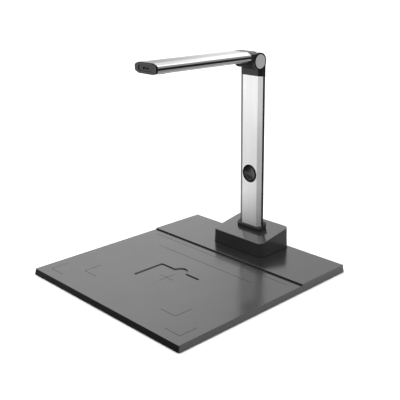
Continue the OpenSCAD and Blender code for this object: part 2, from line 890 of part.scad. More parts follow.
// Metal shell of the square cable socket, open to the rear
module usb_shell() {
    color([0.75, 0.75, 0.76])
    translate([stand_x - usb_x - usb_w / 2, usb_y2 - usb_l, pcb_z + board_t])
        difference() {
            cube([usb_w, usb_l, usb_h]);
            translate([usb_sheet, usb_sheet, usb_sheet])
                cube([usb_w - 2 * usb_sheet, usb_l, usb_h - 2 * usb_sheet]);
        }
}

// Insulator of the cable socket: square frame with a tongue in its opening
module usb_insulator() {
    iw = usb_w - 2 * usb_sheet;
    ih = usb_h - 2 * usb_sheet;
    color([0.85, 0.85, 0.85])
    translate([stand_x - usb_x - iw / 2, usb_y2 - usb_l + usb_sheet, pcb_z + board_t + usb_sheet])
        difference() {
            cube([iw, usb_l - usb_sheet - 0.6, ih]);
            difference() {
                translate([(iw - 8.5) / 2, 5, (ih - 7.8) / 2])
                    cube([8.5, usb_l, 7.8]);
                translate([(iw - 5.6) / 2, 4, (ih - 3.2) / 2])
                    cube([5.6, usb_l - 6.8, 3.2]);
            }
        }
}

// Black knuckle of the arm: barrel on the shaft, neck, full-width shoulder and inner tongue
module arm_knuckle() {
    color([0.06, 0.06, 0.06])
    at_pivot()
        difference() {
            union() {
                rod_x(2 * knuckle_r, 2 * knuckle_hw);
                arm_box(knuckle_hw, 0, shoulder + 2, 0, arm_t - 2.6);
                difference() {
                    arm_bar(neck_back, arm_near, 0);
                    for (s = [-1, 1])
                        translate([s * (knuckle_hw + col_w / 2), 0, 0])
                            rod_x(2 * (ear_rad(s) + knuckle_gap), col_w);
                }
                arm_box(core_in_w / 2 - 5, arm_near - 1, arm_near + tongue_l, floor_h, arm_t - floor_h);
            }
            rod_x(shaft_dia + 2 * shaft_play, 2 * knuckle_hw + 10);
            for (p = tongue_pts)
                arm_rod(p[0], p[1], small_dia, floor_h - 1, floor_h + 5);
        }
}

// Black inner frame of the arm, showing as a strip round its sides
module arm_core() {
    color([0.05, 0.05, 0.05])
    at_pivot()
        difference() {
            union() {
                arm_bar(arm_near, shell_end, arm_shell);
                arm_box(arm_w / 2, arm_near, shell_end, (arm_t - arm_strip) / 2, (arm_t + arm_strip) / 2);
            }
            arm_box(core_in_w / 2 - 5, arm_near - 1, arm_near + tongue_l, floor_h, arm_t - floor_h);
            arm_box(core_in_w / 2 - 5, arm_near + tongue_l + tongue_room, lens_reach - cam_bay - bay_web,
                floor_h, arm_t - floor_h);
            arm_box(core_in_w / 2 - 2, lens_reach - cam_bay, shell_end + 1, floor_h, arm_t - floor_h);
            arm_rod(0, lens_reach, ring_dia + 3, arm_shell - 1, floor_h + 1);
            arm_box(lamp_l / 2 + 1, lens_reach - lamp_off - lamp_s / 2 - 1,
                lens_reach - lamp_off + lamp_s / 2 + 1, arm_shell - 1, floor_h + 1);
            for (p = arm_pts)
                arm_rod(p[0], p[1], small_dia, 0, arm_shell + 4);
            for (p = tongue_pts)
                arm_rod(p[0], p[1], small_dia, 0, floor_h + 1);
            for (x = [-cam_side / 2 + 2.5, cam_side / 2 - 2.5], v = [-1, 1])
                arm_rod(x, lens_reach + v * (cam_side / 2 - 2.5), small_dia,
                    cam_h - 1, arm_t - arm_shell - 0.4);
        }
}

// One metal shell of the arm: hollow section kept between two heights
module arm_shell_part(h1, h2) {
    translate([0, -arm_near, -pivot_up])
        rotate([90, 0, 0])
            linear_extrude(shell_l)
                intersection() {
                    difference() {
                        polygon(octagon(arm_w, arm_t, arm_bx, arm_by));
                        translate([0, arm_shell])
                            polygon(octagon(arm_w - 2 * arm_shell, arm_t - 2 * arm_shell,
                                bevel_x(arm_bx, arm_by, arm_shell), bevel_y(arm_bx, arm_by, arm_shell)));
                    }
                    translate([-arm_w, h1])
                        square([2 * arm_w, h2 - h1]);
                }
}

// Bright upper shell of the arm
module arm_top_shell() {
    color([0.83, 0.83, 0.84])
    at_pivot()
        arm_shell_part((arm_t + arm_strip) / 2, arm_t + 1);
}

// Bright lower shell of the arm with the lens and lamp openings
module arm_bottom_shell() {
    color([0.78, 0.78, 0.79])
    at_pivot()
        difference() {
            arm_shell_part(-1, (arm_t - arm_strip) / 2);
            arm_rod(0, lens_reach, ring_dia, -1, arm_shell + 1);
            arm_box(lamp_l / 2, lens_reach - lamp_off - lamp_s / 2, lens_reach - lamp_off + lamp_s / 2,
                -1, arm_shell + 1);
            for (p = concat(arm_pts, tongue_pts)) {
                arm_rod(p[0], p[1], small_head, -1, small_head_t);
                arm_rod(p[0], p[1], small_dia, -1, arm_shell + 1);
            }
        }
}

// Dark end cap with the sunk panel and a lip inside the arm
module arm_end_cap() {
    color([0.16, 0.16, 0.16])
    at_pivot()
        difference() {
            union() {
                arm_bar(shell_end, arm_reach, 0);
                arm_box(core_in_w / 2 - 2.2, shell_end - lip_l, shell_end + 1, floor_h + 0.1, arm_t - floor_h - 0.1);
            }
            arm_box(core_in_w / 2 - 3.8, shell_end - lip_l - 1, shell_end, floor_h + 1.6, arm_t - floor_h - 1.6);
            translate([-panel_l / 2, -arm_reach - 1, arm_mid - panel_h / 2])
                cube([panel_l, panel_deep + 1, panel_h]);
            translate([-key_x, -arm_reach - 1, arm_mid])
                rod_y(key_dia + 2 * key_play, tip_t + 3);
            translate([key_x - glow_l / 2, -arm_reach - 1, arm_mid - glow_h / 2])
                cube([glow_l, tip_t + 3, glow_h]);
        }
}

// Screws on the underside of the arm
module arm_screws() {
    color([0.4, 0.4, 0.4])
    at_pivot() {
        for (p = concat(arm_pts, tongue_pts))
            arm_rod(p[0], p[1], small_head, 0, small_head_t);
        for (p = arm_pts)
            arm_rod(p[0], p[1], small_dia, 0, arm_shell + 3.6);
        for (p = tongue_pts)
            arm_rod(p[0], p[1], small_dia, 0, floor_h + 4);
    }
}

// Lens ring seated in the lower shell, with an inner flange
module lens_ring() {
    color([0.3, 0.3, 0.31])
    at_pivot()
        difference() {
            union() {
                arm_rod(0, lens_reach, ring_dia, -ring_proud, arm_shell + 1);
                arm_rod(0, lens_reach, ring_dia + 3, arm_shell, arm_shell + 1.2);
            }
            arm_rod(0, lens_reach, barrel_dia, -ring_proud - 1, arm_shell + 3);
        }
}

// Lens barrel with a seat for the front lens
module lens_barrel() {
    color([0.06, 0.06, 0.06])
    at_pivot()
        difference() {
            arm_rod(0, lens_reach, barrel_dia, -ring_proud + 0.3, cam_h);
            arm_rod(0, lens_reach, glass_dia, -ring_proud - 1, glass_t + 0.2);
            arm_rod(0, lens_reach, glass_dia - 2, 0, cam_h - 2);
            arm_box(sensor_side / 2 + 0.2, lens_reach - sensor_side / 2 - 0.2,
                lens_reach + sensor_side / 2 + 0.2, cam_h - 3, cam_h + 1);
        }
}

// Front lens, flat outside and domed toward the copy
module front_lens() {
    ball = (glass_dia * glass_dia / 4 + 0.64) / 1.6;
    color([0.25, 0.3, 0.4, 0.6])
    at_pivot()
        intersection() {
            arm_rod(0, lens_reach, glass_dia, 0.2 - 0.8, glass_t + 0.2);
            translate([0, -lens_reach, 0.2 - 0.8 - pivot_up + ball])
                sphere(r = ball, $fn = 64);
        }
}

// Camera circuit board above the lens barrel
module camera_board() {
    color([0.05, 0.25, 0.12])
    at_pivot()
        difference() {
            arm_box(cam_side / 2, lens_reach - cam_side / 2, lens_reach + cam_side / 2, cam_h, cam_h + board_t);
            for (x = [-cam_side / 2 + 2.5, cam_side / 2 - 2.5], v = [-1, 1])
                arm_rod(x, lens_reach + v * (cam_side / 2 - 2.5), small_dia, cam_h - 1, cam_h + board_t + 1);
        }
}

// Screws that hang the camera board from the arm's frame
module camera_screws() {
    color([0.6, 0.6, 0.6])
    at_pivot()
        for (x = [-cam_side / 2 + 2.5, cam_side / 2 - 2.5], v = [-1, 1]) {
            arm_rod(x, lens_reach + v * (cam_side / 2 - 2.5), small_dia, cam_h, arm_t - arm_shell - 0.4);
            arm_rod(x, lens_reach + v * (cam_side / 2 - 2.5), small_head, cam_h - small_head_t, cam_h);
        }
}

// Image sensor under the camera board, inside the barrel
module image_sensor() {
    color([0.12, 0.12, 0.16])
    at_pivot()
        arm_box(sensor_side / 2, lens_reach - sensor_side / 2, lens_reach + sensor_side / 2, cam_h - 1, cam_h);
}

// Circuit board of the fill lamp
module lamp_board() {
    color([0.9, 0.9, 0.88])
    at_pivot()
        arm_box(lamp_l / 2 + 2, lens_reach - lamp_off - lamp_s / 2 - 2, lens_reach - lamp_off + lamp_s / 2 + 2,
            floor_h, floor_h + 1);
}

// Light emitters on the lamp board
module lamp_leds() {
    color([0.95, 0.9, 0.6])
    at_pivot()
        for (x = led_xs)
            translate([x, 0, 0])
                arm_box(1.75, lens_reach - lamp_off - 1.75, lens_reach - lamp_off + 1.75, floor_h - 0.9, floor_h);
}

// Clear lamp window set flush in the lower shell
module lamp_window() {
    color([0.9, 0.9, 0.92, 0.7])
    at_pivot()
        union() {
            arm_box(lamp_l / 2, lens_reach - lamp_off - lamp_s / 2, lens_reach - lamp_off + lamp_s / 2,
                0.1, arm_shell + 0.5);
            arm_box(lamp_l / 2 + 1, lens_reach - lamp_off - lamp_s / 2 - 1,
                lens_reach - lamp_off + lamp_s / 2 + 1, arm_shell, arm_shell + 0.8);
        }
}

// Oblong indicator window in the end cap
module indicator_window() {
    color([0.02, 0.02, 0.03])
    at_pivot()
        translate([key_x - glow_l / 2, -arm_reach + panel_deep - 0.1, arm_mid - glow_h / 2])
            cube([glow_l, tip_t - panel_deep + 0.1, glow_h]);
}

// Small push switch behind the lamp key, on the end cap
module key_switch() {
    color([0.2, 0.2, 0.2])
    at_pivot()
        translate([-key_x - 3, -shell_end, arm_mid - 2.3])
            cube([6, 3.4, 4.6]);
}

// Round lamp key in the end cap
module lamp_key() {
    color([0.02, 0.02, 0.02])
    at_pivot()
        translate([-key_x, -arm_reach + panel_deep - key_out, arm_mid])
            rod_y(key_dia, tip_t - panel_deep + key_out - 0.8);
}

base_board();
base_cover();
ballast_plate();
rubber_feet();
base_screws();
foot_block();
block_screws();
stand_collar();
column_front_shell();
column_rear_shell();
column_spine();
column_screws();
plate_screws();
lens_dock();
hinge_cap();
cap_screws();
hinge_shaft();
friction_washers();
hinge_discs();
main_board();
board_screws();
usb_shell();
usb_insulator();
arm_knuckle();
arm_core();
arm_top_shell();
arm_bottom_shell();
arm_end_cap();
arm_screws();
lens_ring();
lens_barrel();
front_lens();
camera_board();
camera_screws();
image_sensor();
lamp_board();
lamp_leds();
lamp_window();
indicator_window();
key_switch();
lamp_key();
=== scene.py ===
import math

import bmesh
import bpy
import numpy as np
from mathutils import Matrix, Vector


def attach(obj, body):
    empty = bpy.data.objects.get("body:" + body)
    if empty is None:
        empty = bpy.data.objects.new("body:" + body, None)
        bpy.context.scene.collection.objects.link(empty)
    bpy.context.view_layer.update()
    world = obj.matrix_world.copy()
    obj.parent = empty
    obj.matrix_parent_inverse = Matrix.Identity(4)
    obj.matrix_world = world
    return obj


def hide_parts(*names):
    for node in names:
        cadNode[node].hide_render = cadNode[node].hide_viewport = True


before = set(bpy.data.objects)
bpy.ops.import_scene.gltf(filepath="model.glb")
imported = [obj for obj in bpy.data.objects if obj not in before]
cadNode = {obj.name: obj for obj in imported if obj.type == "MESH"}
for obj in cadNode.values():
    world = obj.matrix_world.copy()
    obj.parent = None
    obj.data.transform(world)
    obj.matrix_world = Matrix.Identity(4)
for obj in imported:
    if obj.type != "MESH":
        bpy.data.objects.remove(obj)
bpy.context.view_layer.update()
scene = bpy.context.scene
mm = 0.001  # all sizes below are in millimetres, in the CAD frame

stemX = 3.0  # the column and all that it carries stand this far right of the board's middle
pivot = (stemX, 127.2, 319.5)
dockMiddle = (stemX, 129.4, 135.3)
lensMiddle = (stemX, -57.0, 318.0)

# camera, worked out from the page marks on the board; focal length and middle in pixels of the square picture
view = dict(place=(762.8, -687.7, 461.4), yaw=44.247, pitch=15.761, roll=0.178, focal=714.4,
            middle=(233.4, 166.8), picture=400, sensor=36, nearest=0.01, farthest=200)
yaw, pitch, roll = (math.radians(view[k]) for k in ("yaw", "pitch", "roll"))
back = Vector((math.sin(yaw) * math.cos(pitch), -math.cos(yaw) * math.cos(pitch), math.sin(pitch)))
right = Vector((math.cos(yaw), math.sin(yaw), 0))
up = back.cross(right)
sideways = right * math.cos(roll) + up * math.sin(roll)
upward = up * math.cos(roll) - right * math.sin(roll)
camData = bpy.data.cameras.new("camera")
camData.sensor_width = view["sensor"]
camData.lens = view["focal"] / view["picture"] * view["sensor"]
camData.shift_x = (view["picture"] / 2 - view["middle"][0]) / view["picture"]
camData.shift_y = (view["middle"][1] - view["picture"] / 2) / view["picture"]
camData.clip_start = view["nearest"]
camData.clip_end = view["farthest"]
camera = bpy.data.objects.new("camera", camData)
aim = Matrix((sideways, upward, back)).transposed().to_4x4()
camera.matrix_world = Matrix.Translation(Vector(view["place"]) * mm) @ aim
scene.collection.objects.link(camera)
scene.camera = camera
scene.view_settings.view_transform = "Standard"
print("camera set")


def nodeAt(tree, kind, links=(), **values):
    # one shader node with its settings, its inputs filled with values or joined to outputs
    node = tree.nodes.new(kind)
    for key, value in values.items():
        setattr(node, key, value)
    for socket, value in links:
        if isinstance(value, bpy.types.NodeSocket):
            tree.links.new(value, node.inputs[socket])
        else:
            node.inputs[socket].default_value = value
    return node


def speckle(tree, scale, detail, stretch=(1, 1, 1)):
    # noise over object space, its axes stretched
    coords = nodeAt(tree, "ShaderNodeTexCoord")
    spread = nodeAt(tree, "ShaderNodeMapping", [("Vector", coords.outputs["Object"]), ("Scale", stretch)])
    noise = [("Vector", spread.outputs[0]), ("Scale", scale), ("Detail", detail)]
    return nodeAt(tree, "ShaderNodeTexNoise", noise)


def between(tree, value, low, high, start=0.3, end=0.7):
    # value carried from start..end to low..high
    span = [("Value", value), ("From Min", start), ("From Max", end), ("To Min", low), ("To Max", high)]
    return nodeAt(tree, "ShaderNodeMapRange", span).outputs[0]


def mixed(tree, share, first, second):
    # first colour where the share is 0, second where it is 1
    ends = [("Factor", share), ("A", first + (1,)), ("B", second + (1,))]
    node = nodeAt(tree, "ShaderNodeMix", ends, data_type="RGBA")
    return [s for s in node.outputs if s.type == "RGBA"][0]


def finish(name, colour, rough, metal=0.0, tone=0.08, roughSpread=0.05, cloud=25, grain=1500, bump=0.06,
           deep=0.00003, stretch=(1, 1, 1), coat=0.0, coatRough=0.08, specular=0.5):
    # soft clouds vary tone and roughness, fine grain lifts the surface
    mat = bpy.data.materials.new(name)
    mat.use_nodes = True
    tree = mat.node_tree
    shader = tree.nodes["Principled BSDF"]
    shader.inputs["Metallic"].default_value = metal
    shader.inputs["Coat Weight"].default_value = coat
    shader.inputs["Coat Roughness"].default_value = coatRough
    shader.inputs["Specular IOR Level"].default_value = specular
    clouds = speckle(tree, cloud, 5).outputs["Fac"]
    fine = speckle(tree, grain, 3, stretch).outputs["Fac"]
    dark, light = [tuple(c * k for c in colour) for k in (1 - tone, 1 + tone)]
    tree.links.new(mixed(tree, between(tree, clouds, 0, 1), dark, light), shader.inputs["Base Color"])
    tree.links.new(between(tree, clouds, rough - roughSpread, rough + roughSpread), shader.inputs["Roughness"])
    lift = nodeAt(tree, "ShaderNodeBump", [("Height", fine), ("Strength", bump), ("Distance", deep)])
    tree.links.new(lift.outputs[0], shader.inputs["Normal"])
    return mat


def toneRamp(tree, value, stops, smooth="LINEAR"):
    # grey ramp over 0..1 through the given places and tones
    ramp = nodeAt(tree, "ShaderNodeValToRGB", [(0, value)])
    marks = ramp.color_ramp.elements
    ramp.color_ramp.interpolation = smooth
    marks[0].position, marks[1].position = stops[0][0], stops[-1][0]
    for spot, _ in stops[1:-1]:
        marks.new(spot)
    for mark, (_, tone) in zip(marks, stops):
        mark.color = (tone, tone, tone, 1)
    return ramp.outputs[0]


def paintedShadeMetal(name, brush, sheenSpans, face, left, right, side, rough, paintedSheenDip):
    # satin metal with painted shade and painted sheen: tone by how far a facet turns to the side, each facet lit
    # or shaded by its tone, less the sheen dip times the spans' ramps multiplied
    mat = finish(name, (0.7, 0.7, 0.71), rough, metal=1.0, tone=0.03, roughSpread=0.03, grain=2600, bump=0.08)
    tree = mat.node_tree
    coords = nodeAt(tree, "ShaderNodeTexCoord")
    turn = nodeAt(tree, "ShaderNodeSeparateXYZ", [(0, coords.outputs["Normal"])]).outputs[0]
    turns = (0.05, 0.2, 0.35, 0.45, 0.55, 0.65, 0.8, 0.95)
    facets = list(zip(turns, (side, left, left, face, face, right, right, side)))
    tone = toneRamp(tree, between(tree, turn, 0, 1, -1, 1), facets)
    spot = nodeAt(tree, "ShaderNodeSeparateXYZ", [(0, coords.outputs["Object"])])
    sheenFalls = []
    for axis, start, end, stops in sheenSpans:
        share = between(tree, spot.outputs[axis], 0, 1, start * mm, end * mm)
        sheenFalls.append(toneRamp(tree, share, stops, "EASE"))
    sheenFall = sheenFalls[0]
    for other in sheenFalls[1:]:
        sheenFall = nodeAt(tree, "ShaderNodeMath", [(0, sheenFall), (1, other)], operation="MULTIPLY").outputs[0]
    clouds = between(tree, speckle(tree, 700, 3, brush).outputs["Fac"], 0.96, 1.04)
    kept = nodeAt(tree, "ShaderNodeMath", [(0, sheenFall), (1, -paintedSheenDip), (2, clouds)], operation="MULTIPLY_ADD")
    varied = nodeAt(tree, "ShaderNodeVectorMath", [(0, tone), ("Scale", kept.outputs[0])], operation="SCALE")
    tree.links.new(varied.outputs[0], tree.nodes["Principled BSDF"].inputs["Base Color"])
    return mat


def paintedShading(mat, value, stops, colour=True):
    # paints light and shade: reflection, and base colour too unless told not to, scaled by a ramp over the
    # value; a second call scales the colour again, and its ramp takes the first one's place for the reflection
    tree = mat.node_tree
    shader = tree.nodes["Principled BSDF"]
    scale = toneRamp(tree, value(tree), stops)
    if colour:
        source = shader.inputs["Base Color"].links[0].from_socket
        toned = nodeAt(tree, "ShaderNodeVectorMath", [(0, source), (1, scale)], operation="MULTIPLY")
        tree.links.new(toned.outputs[0], shader.inputs["Base Color"])
    gloss = shader.inputs["Specular IOR Level"]
    shine = nodeAt(tree, "ShaderNodeMath", [(0, scale), (1, gloss.default_value)], operation="MULTIPLY")
    tree.links.new(shine.outputs[0], gloss)


def facing(axis):
    # 0 where a face looks straight down the axis, 1 where it looks straight up it
    def value(tree):
        # the normal's part along the axis, carried from -1..1 to 0..1
        coords = nodeAt(tree, "ShaderNodeTexCoord")
        lean = nodeAt(tree, "ShaderNodeSeparateXYZ", [(0, coords.outputs["Normal"])]).outputs[axis]
        return between(tree, lean, 0, 1, -1, 1)
    return value


def outFrom(centre, reach, along=(1, 1, 1)):
    # distance from the centre as a share of the reach, counted only along the axes that are 1
    def value(tree):
        # both points cut down to the axes that count, then their distance over the reach
        coords = nodeAt(tree, "ShaderNodeTexCoord")
        kept = [(0, coords.outputs["Object"]), (1, along)]
        spot = nodeAt(tree, "ShaderNodeVectorMath", kept, operation="MULTIPLY")
        middle = tuple(c * a * mm for c, a in zip(centre, along))
        away = nodeAt(tree, "ShaderNodeVectorMath", [(0, spot.outputs[0]), (1, middle)], operation="DISTANCE")
        return between(tree, away.outputs["Value"], 0, 1, 0, reach * mm)
    return value


def turned(name, colour, rough, centre, axis, spacing=0.35, waveLength=0.314, waver=0.6, bump=0.12,
           deep=0.00004):
    # rings cut by a lathe about one axis through the centre; waveLength is the wave texture's at scale 1
    mat = finish(name, colour, rough, metal=1.0, tone=0.05)
    tree = mat.node_tree
    shader = tree.nodes["Principled BSDF"]
    coords = nodeAt(tree, "ShaderNodeTexCoord")
    shift = tuple(-c * mm for c in centre)
    moved = nodeAt(tree, "ShaderNodeMapping", [("Vector", coords.outputs["Object"]), ("Location", shift)])
    wave = [("Vector", moved.outputs[0]), ("Scale", waveLength / (spacing * mm)), ("Distortion", waver)]
    rings = nodeAt(tree, "ShaderNodeTexWave", wave, wave_type="RINGS", rings_direction=axis)
    height = [("Height", rings.outputs["Fac"]), ("Strength", bump), ("Distance", deep)]
    tree.links.new(nodeAt(tree, "ShaderNodeBump", height).outputs[0], shader.inputs["Normal"])
    return mat


def circuitBoard(name, mask, track, scale=700, edge=(0.25, 0.3)):
    # cell borders drawn as tracks over the solder mask
    mat = finish(name, mask, 0.35, tone=0.1)
    tree = mat.node_tree
    shader = tree.nodes["Principled BSDF"]
    coords = nodeAt(tree, "ShaderNodeTexCoord")
    where = [("Vector", coords.outputs["Object"]), ("Scale", scale)]
    cells = nodeAt(tree, "ShaderNodeTexVoronoi", where, distance="MANHATTAN")
    drawn = between(tree, cells.outputs["Distance"], 1, 0, *edge)
    tree.links.new(mixed(tree, drawn, mask, track), shader.inputs["Base Color"])
    return mat


def clear(name, colour, rough, ior=1.5, coat=0.0, through=1.0):
    # clear material, its roughness slightly uneven
    mat = finish(name, colour, rough, roughSpread=0.02, tone=0.03, bump=0.01, coat=coat)
    shader = mat.node_tree.nodes["Principled BSDF"]
    shader.inputs["Transmission Weight"].default_value = through
    shader.inputs["IOR"].default_value = ior
    return mat


moulded = dict(tone=0.1, roughSpread=0.03, grain=2200, bump=0.05)
boardPlastic = finish("boardPlastic", (0.016, 0.016, 0.0165), 0.21, specular=0.56, **moulded)
# painted shade: faces that look forward and a little down, the board's leaning front wall, darkened to 0.08 in
# colour and reflection
paintedShading(boardPlastic, facing(1), [(0, 0.7), (0.005, 0.7), (0.012, 0.08), (0.06, 0.08), (0.2, 1), (1, 1)])
lineInk = finish("lineInk", (0.004, 0.004, 0.004), 0.45, grain=1800, bump=0.1, specular=0.2)
blockPlastic = finish("blockPlastic", (0.026, 0.026, 0.0265), 0.19, specular=0.5, **moulded)
# painted shade: reflection on the block's sides and underside cut to a quarter of that on its top
paintedShading(blockPlastic, facing(2), [(0, 0.25), (0.62, 0.25), (0.85, 1), (1, 1)], colour=False)
blackPlastic = finish("blackPlastic", (0.014, 0.014, 0.0145), 0.48, grain=1800, bump=0.12, specular=0.22)
stripPlastic = finish("stripPlastic", (0.003, 0.003, 0.003), 0.5, grain=1800, bump=0.1, specular=0.08)
tipPlastic = finish("tipPlastic", (0.023, 0.023, 0.0235), 0.4, grain=1800, bump=0.1, specular=0.34)
# painted shade: every face of the end cap that doesn't look straight forward, the sunk panel's walls among them,
# darkened to 0.06
paintedShading(tipPlastic, facing(1), [(0, 1), (0.03, 1), (0.15, 0.06), (1, 0.06)])
capPlastic = finish("capPlastic", (0.047, 0.047, 0.0475), 0.48, grain=1800, bump=0.12, specular=0.2)
# painted shadow: within about 14 mm of the hinge axis, under the knuckle, colour and reflection darkened to a
# fifth
paintedShading(capPlastic, outFrom(pivot, 20, (0, 1, 1)), [(0, 0.2), (0.69, 0.2), (0.74, 1), (1, 1)])
# painted shade: faces that look to either side darkened to a fifth, the front and back kept at full tone
paintedShading(capPlastic, facing(0), [(0, 0.2), (0.28, 0.25), (0.4, 1), (0.6, 1), (0.72, 0.25), (1, 0.2)])
knucklePlastic = finish("knucklePlastic", (0.08, 0.08, 0.0825), 0.5, grain=1800, bump=0.12, specular=0.2)
# painted highlight: top faces that look straight up keep full tone, all other faces darkened to 0.15
paintedShading(knucklePlastic, facing(2), [(0, 0.15), (0.94, 0.15), (0.98, 1), (1, 1)])
coverPlastic = finish("coverPlastic", (0.018, 0.018, 0.018), 0.55, grain=900, bump=0.3, deep=0.00008)
dockPlastic = finish("dockPlastic", (0.004, 0.004, 0.0045), 0.27, grain=1800, bump=0.06, specular=0.5)
# painted shade: the dock's flat rim and outer edge darkened to 0.04 in colour and reflection, the hollow kept at
# full tone
paintedShading(dockPlastic, outFrom(dockMiddle, 14.5), [(0, 1), (0.78, 1), (0.84, 0.04), (1, 0.04)])
glossBlack = finish("glossBlack", (0.001, 0.001, 0.0012), 0.2, roughSpread=0.03, bump=0.02, specular=0.02)
# bright shells: brush direction, then axis, start, end and ramp of each span over which the tone falls in a
# painted sheen
brushUp, brushAlong = (1, 1, 0.012), (1, 0.012, 1)
columnSheenSpan = (2, 50, 290, [(0, 0), (0.5, 1), (1, 0.3)])
armSheenAlong = (1, -77, 106, [(0, 1), (1, 0)])
armSheenAcross = (0, -14, 26.4, [(0, 0.55), (0.45, 1), (0.9, 0.55), (1, 0)])
# facet tones paint the shade of each facet: face, left and right bevels and sides, the column's left bevel far
# darker than its right
columnMetal = paintedShadeMetal("columnMetal", brushUp, [columnSheenSpan],
                         face=0.92, left=0.11, right=0.64, side=0.28, rough=0.42, paintedSheenDip=0.31)
rearMetal = paintedShadeMetal("rearMetal", brushUp, [columnSheenSpan],
                       face=0.64, left=0.20, right=0.20, side=0.06, rough=0.42, paintedSheenDip=0.2)
armMetal = paintedShadeMetal("armMetal", brushAlong, [armSheenAcross, armSheenAlong],
                      face=0.51, left=0.78, right=0.78, side=0.20, rough=0.34, paintedSheenDip=0.75)
underMetal = paintedShadeMetal("underMetal", brushAlong, [armSheenAlong],
                        face=0.54, left=0.12, right=0.12, side=0.23, rough=0.34, paintedSheenDip=0.2)
discMetal = turned("discMetal", (0.27, 0.27, 0.273), 0.36, pivot, "X")
ringMetal = turned("ringMetal", (0.13, 0.13, 0.135), 0.3, lensMiddle, "Z")
steel = finish("steel", (0.5, 0.5, 0.51), 0.35, metal=1.0, stretch=(1, 0.03, 1), grain=900, bump=0.15)
screwSteel = finish("screwSteel", (0.32, 0.32, 0.33), 0.32, metal=1.0, tone=0.12)
rubber = finish("rubber", (0.012, 0.012, 0.012), 0.8, grain=1200, bump=0.4, deep=0.00008)
circuit = circuitBoard("circuit", (0.010, 0.075, 0.035), (0.030, 0.15, 0.06))
lampCircuit = circuitBoard("lampCircuit", (0.72, 0.72, 0.70), (0.62, 0.62, 0.60))
silicon = finish("silicon", (0.035, 0.032, 0.05), 0.15, tone=0.3, cloud=400)
emitter = finish("emitter", (0.80, 0.68, 0.22), 0.4, cloud=700, tone=0.15)
insulator = finish("insulator", (0.62, 0.62, 0.60), 0.5)
socketMetal = finish("socketMetal", (0.66, 0.66, 0.67), 0.25, metal=1.0, stretch=(1, 0.05, 1), grain=1600,
                     bump=0.1)
lensGlass = clear("lensGlass", (0.80, 0.85, 1.0), 0.03, coat=1.0)
clearWindow = clear("clearWindow", (0.62, 0.63, 0.64), 0.2, through=0.35)
print("finishes made")


def quads(rows, cols, wrapCols=False, keep=None):
    # quad (i, j) joins grid points (i, j), (i+1, j), (i+1, j+1), (i, j+1), round again across where wrapped
    i, j = np.meshgrid(np.arange(rows - 1), np.arange(cols if wrapCols else cols - 1), indexing="ij")
    k, l = i + 1, (j + 1) % cols
    faces = np.stack([i * cols + j, k * cols + j, k * cols + l, i * cols + l], -1).reshape(-1, 4)
    return faces if keep is None else faces[keep.reshape(-1)]


def sheet(grid, **how):
    # a grid of points with its quads
    return grid.reshape(-1, 3), quads(grid.shape[0], grid.shape[1], **how)


def raised(path, height):
    # flat points given their heights
    return np.concatenate([path, np.broadcast_to(height, path.shape[:2])[..., None]], -1)


def shade(mesh, sharp):
    # coinciding points joined, smooth faces, hard edges where faces turn by more than the given angle
    work = bmesh.new()
    work.from_mesh(mesh)
    bmesh.ops.remove_doubles(work, verts=work.verts, dist=2e-6)
    bmesh.ops.dissolve_degenerate(work, edges=work.edges, dist=1e-6)
    work.to_mesh(mesh)
    work.free()
    mesh.shade_smooth()
    mesh.set_sharp_from_angle(angle=math.radians(sharp))


def place(obj, body, stands, mat):
    # finish and body of one piece, and the CAD nodes it stands for
    scene.collection.objects.link(obj)
    obj.data.materials.clear()
    obj.data.materials.append(mat)
    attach(obj, body)
    if stands:
        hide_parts(*stands)
    return obj


def weighted(obj):
    # larger faces set the shading, so that flat faces stay flat beside their rounded edges
    lean = obj.modifiers.new("shading", "WEIGHTED_NORMAL")
    lean.keep_sharp = True


def piece(name, sheets, body, stands, mat, sharp=35):
    # all sheets of one piece gathered in one mesh
    starts = np.cumsum([0] + [len(points) for points, _ in sheets])
    points = np.concatenate([p for p, _ in sheets]) * mm
    faces = np.concatenate([f + s for (_, f), s in zip(sheets, starts)])
    mesh = bpy.data.meshes.new(name)
    mesh.from_pydata(points.tolist(), [], faces.tolist())
    shade(mesh, sharp)
    weighted(place(bpy.data.objects.new(name, mesh), body, stands, mat))


def softened(name, node, body, mat, width, sharp=35, sliver=0.005):
    # copy of a CAD node with its edges rounded
    mesh = cadNode[node].data.copy()
    mesh.name = name
    shade(mesh, sharp)
    obj = place(bpy.data.objects.new(name, mesh), body, [node], mat)
    edge = obj.modifiers.new("edges", "BEVEL")
    edge.width = width * mm
    edge.segments = 3
    edge.limit_method = "ANGLE"
    edge.angle_limit = math.radians(sharp)
    edge.use_clamp_overlap = True
    join = obj.modifiers.new("joins", "WELD")  # closes the slivers that the bevel leaves at corners
    join.merge_threshold = sliver * mm
    weighted(obj)


def roundRect(halfX, halfY, radius, steps=8):
    # four quarter circles joined corner to corner, anticlockwise from the right rear corner, one row per ring
    halfX, halfY, radius = (np.atleast_1d(np.asarray(v, float))[:, None] for v in (halfX, halfY, radius))
    turn = (np.arange(4)[:, None] * np.pi / 2 + np.linspace(0, np.pi / 2, steps)).ravel()
    sx, sy = np.repeat([1, -1, -1, 1], steps), np.repeat([1, 1, -1, -1], steps)
    halfX, halfY = np.maximum(halfX, 0), np.maximum(halfY, 0)
    radius = np.minimum(radius, np.minimum(halfX, halfY))
    x = sx * (halfX - radius) + radius * np.cos(turn)
    y = sy * (halfY - radius) + radius * np.sin(turn)
    return np.stack([x, y], -1)


def edgeArc(fillet, steps=6):
    # quarter circle from the top face over to the side face: inset, then drop below the top
    turn = np.linspace(0, np.pi / 2, steps)
    return fillet - fillet * np.sin(turn), fillet - fillet * np.cos(turn)


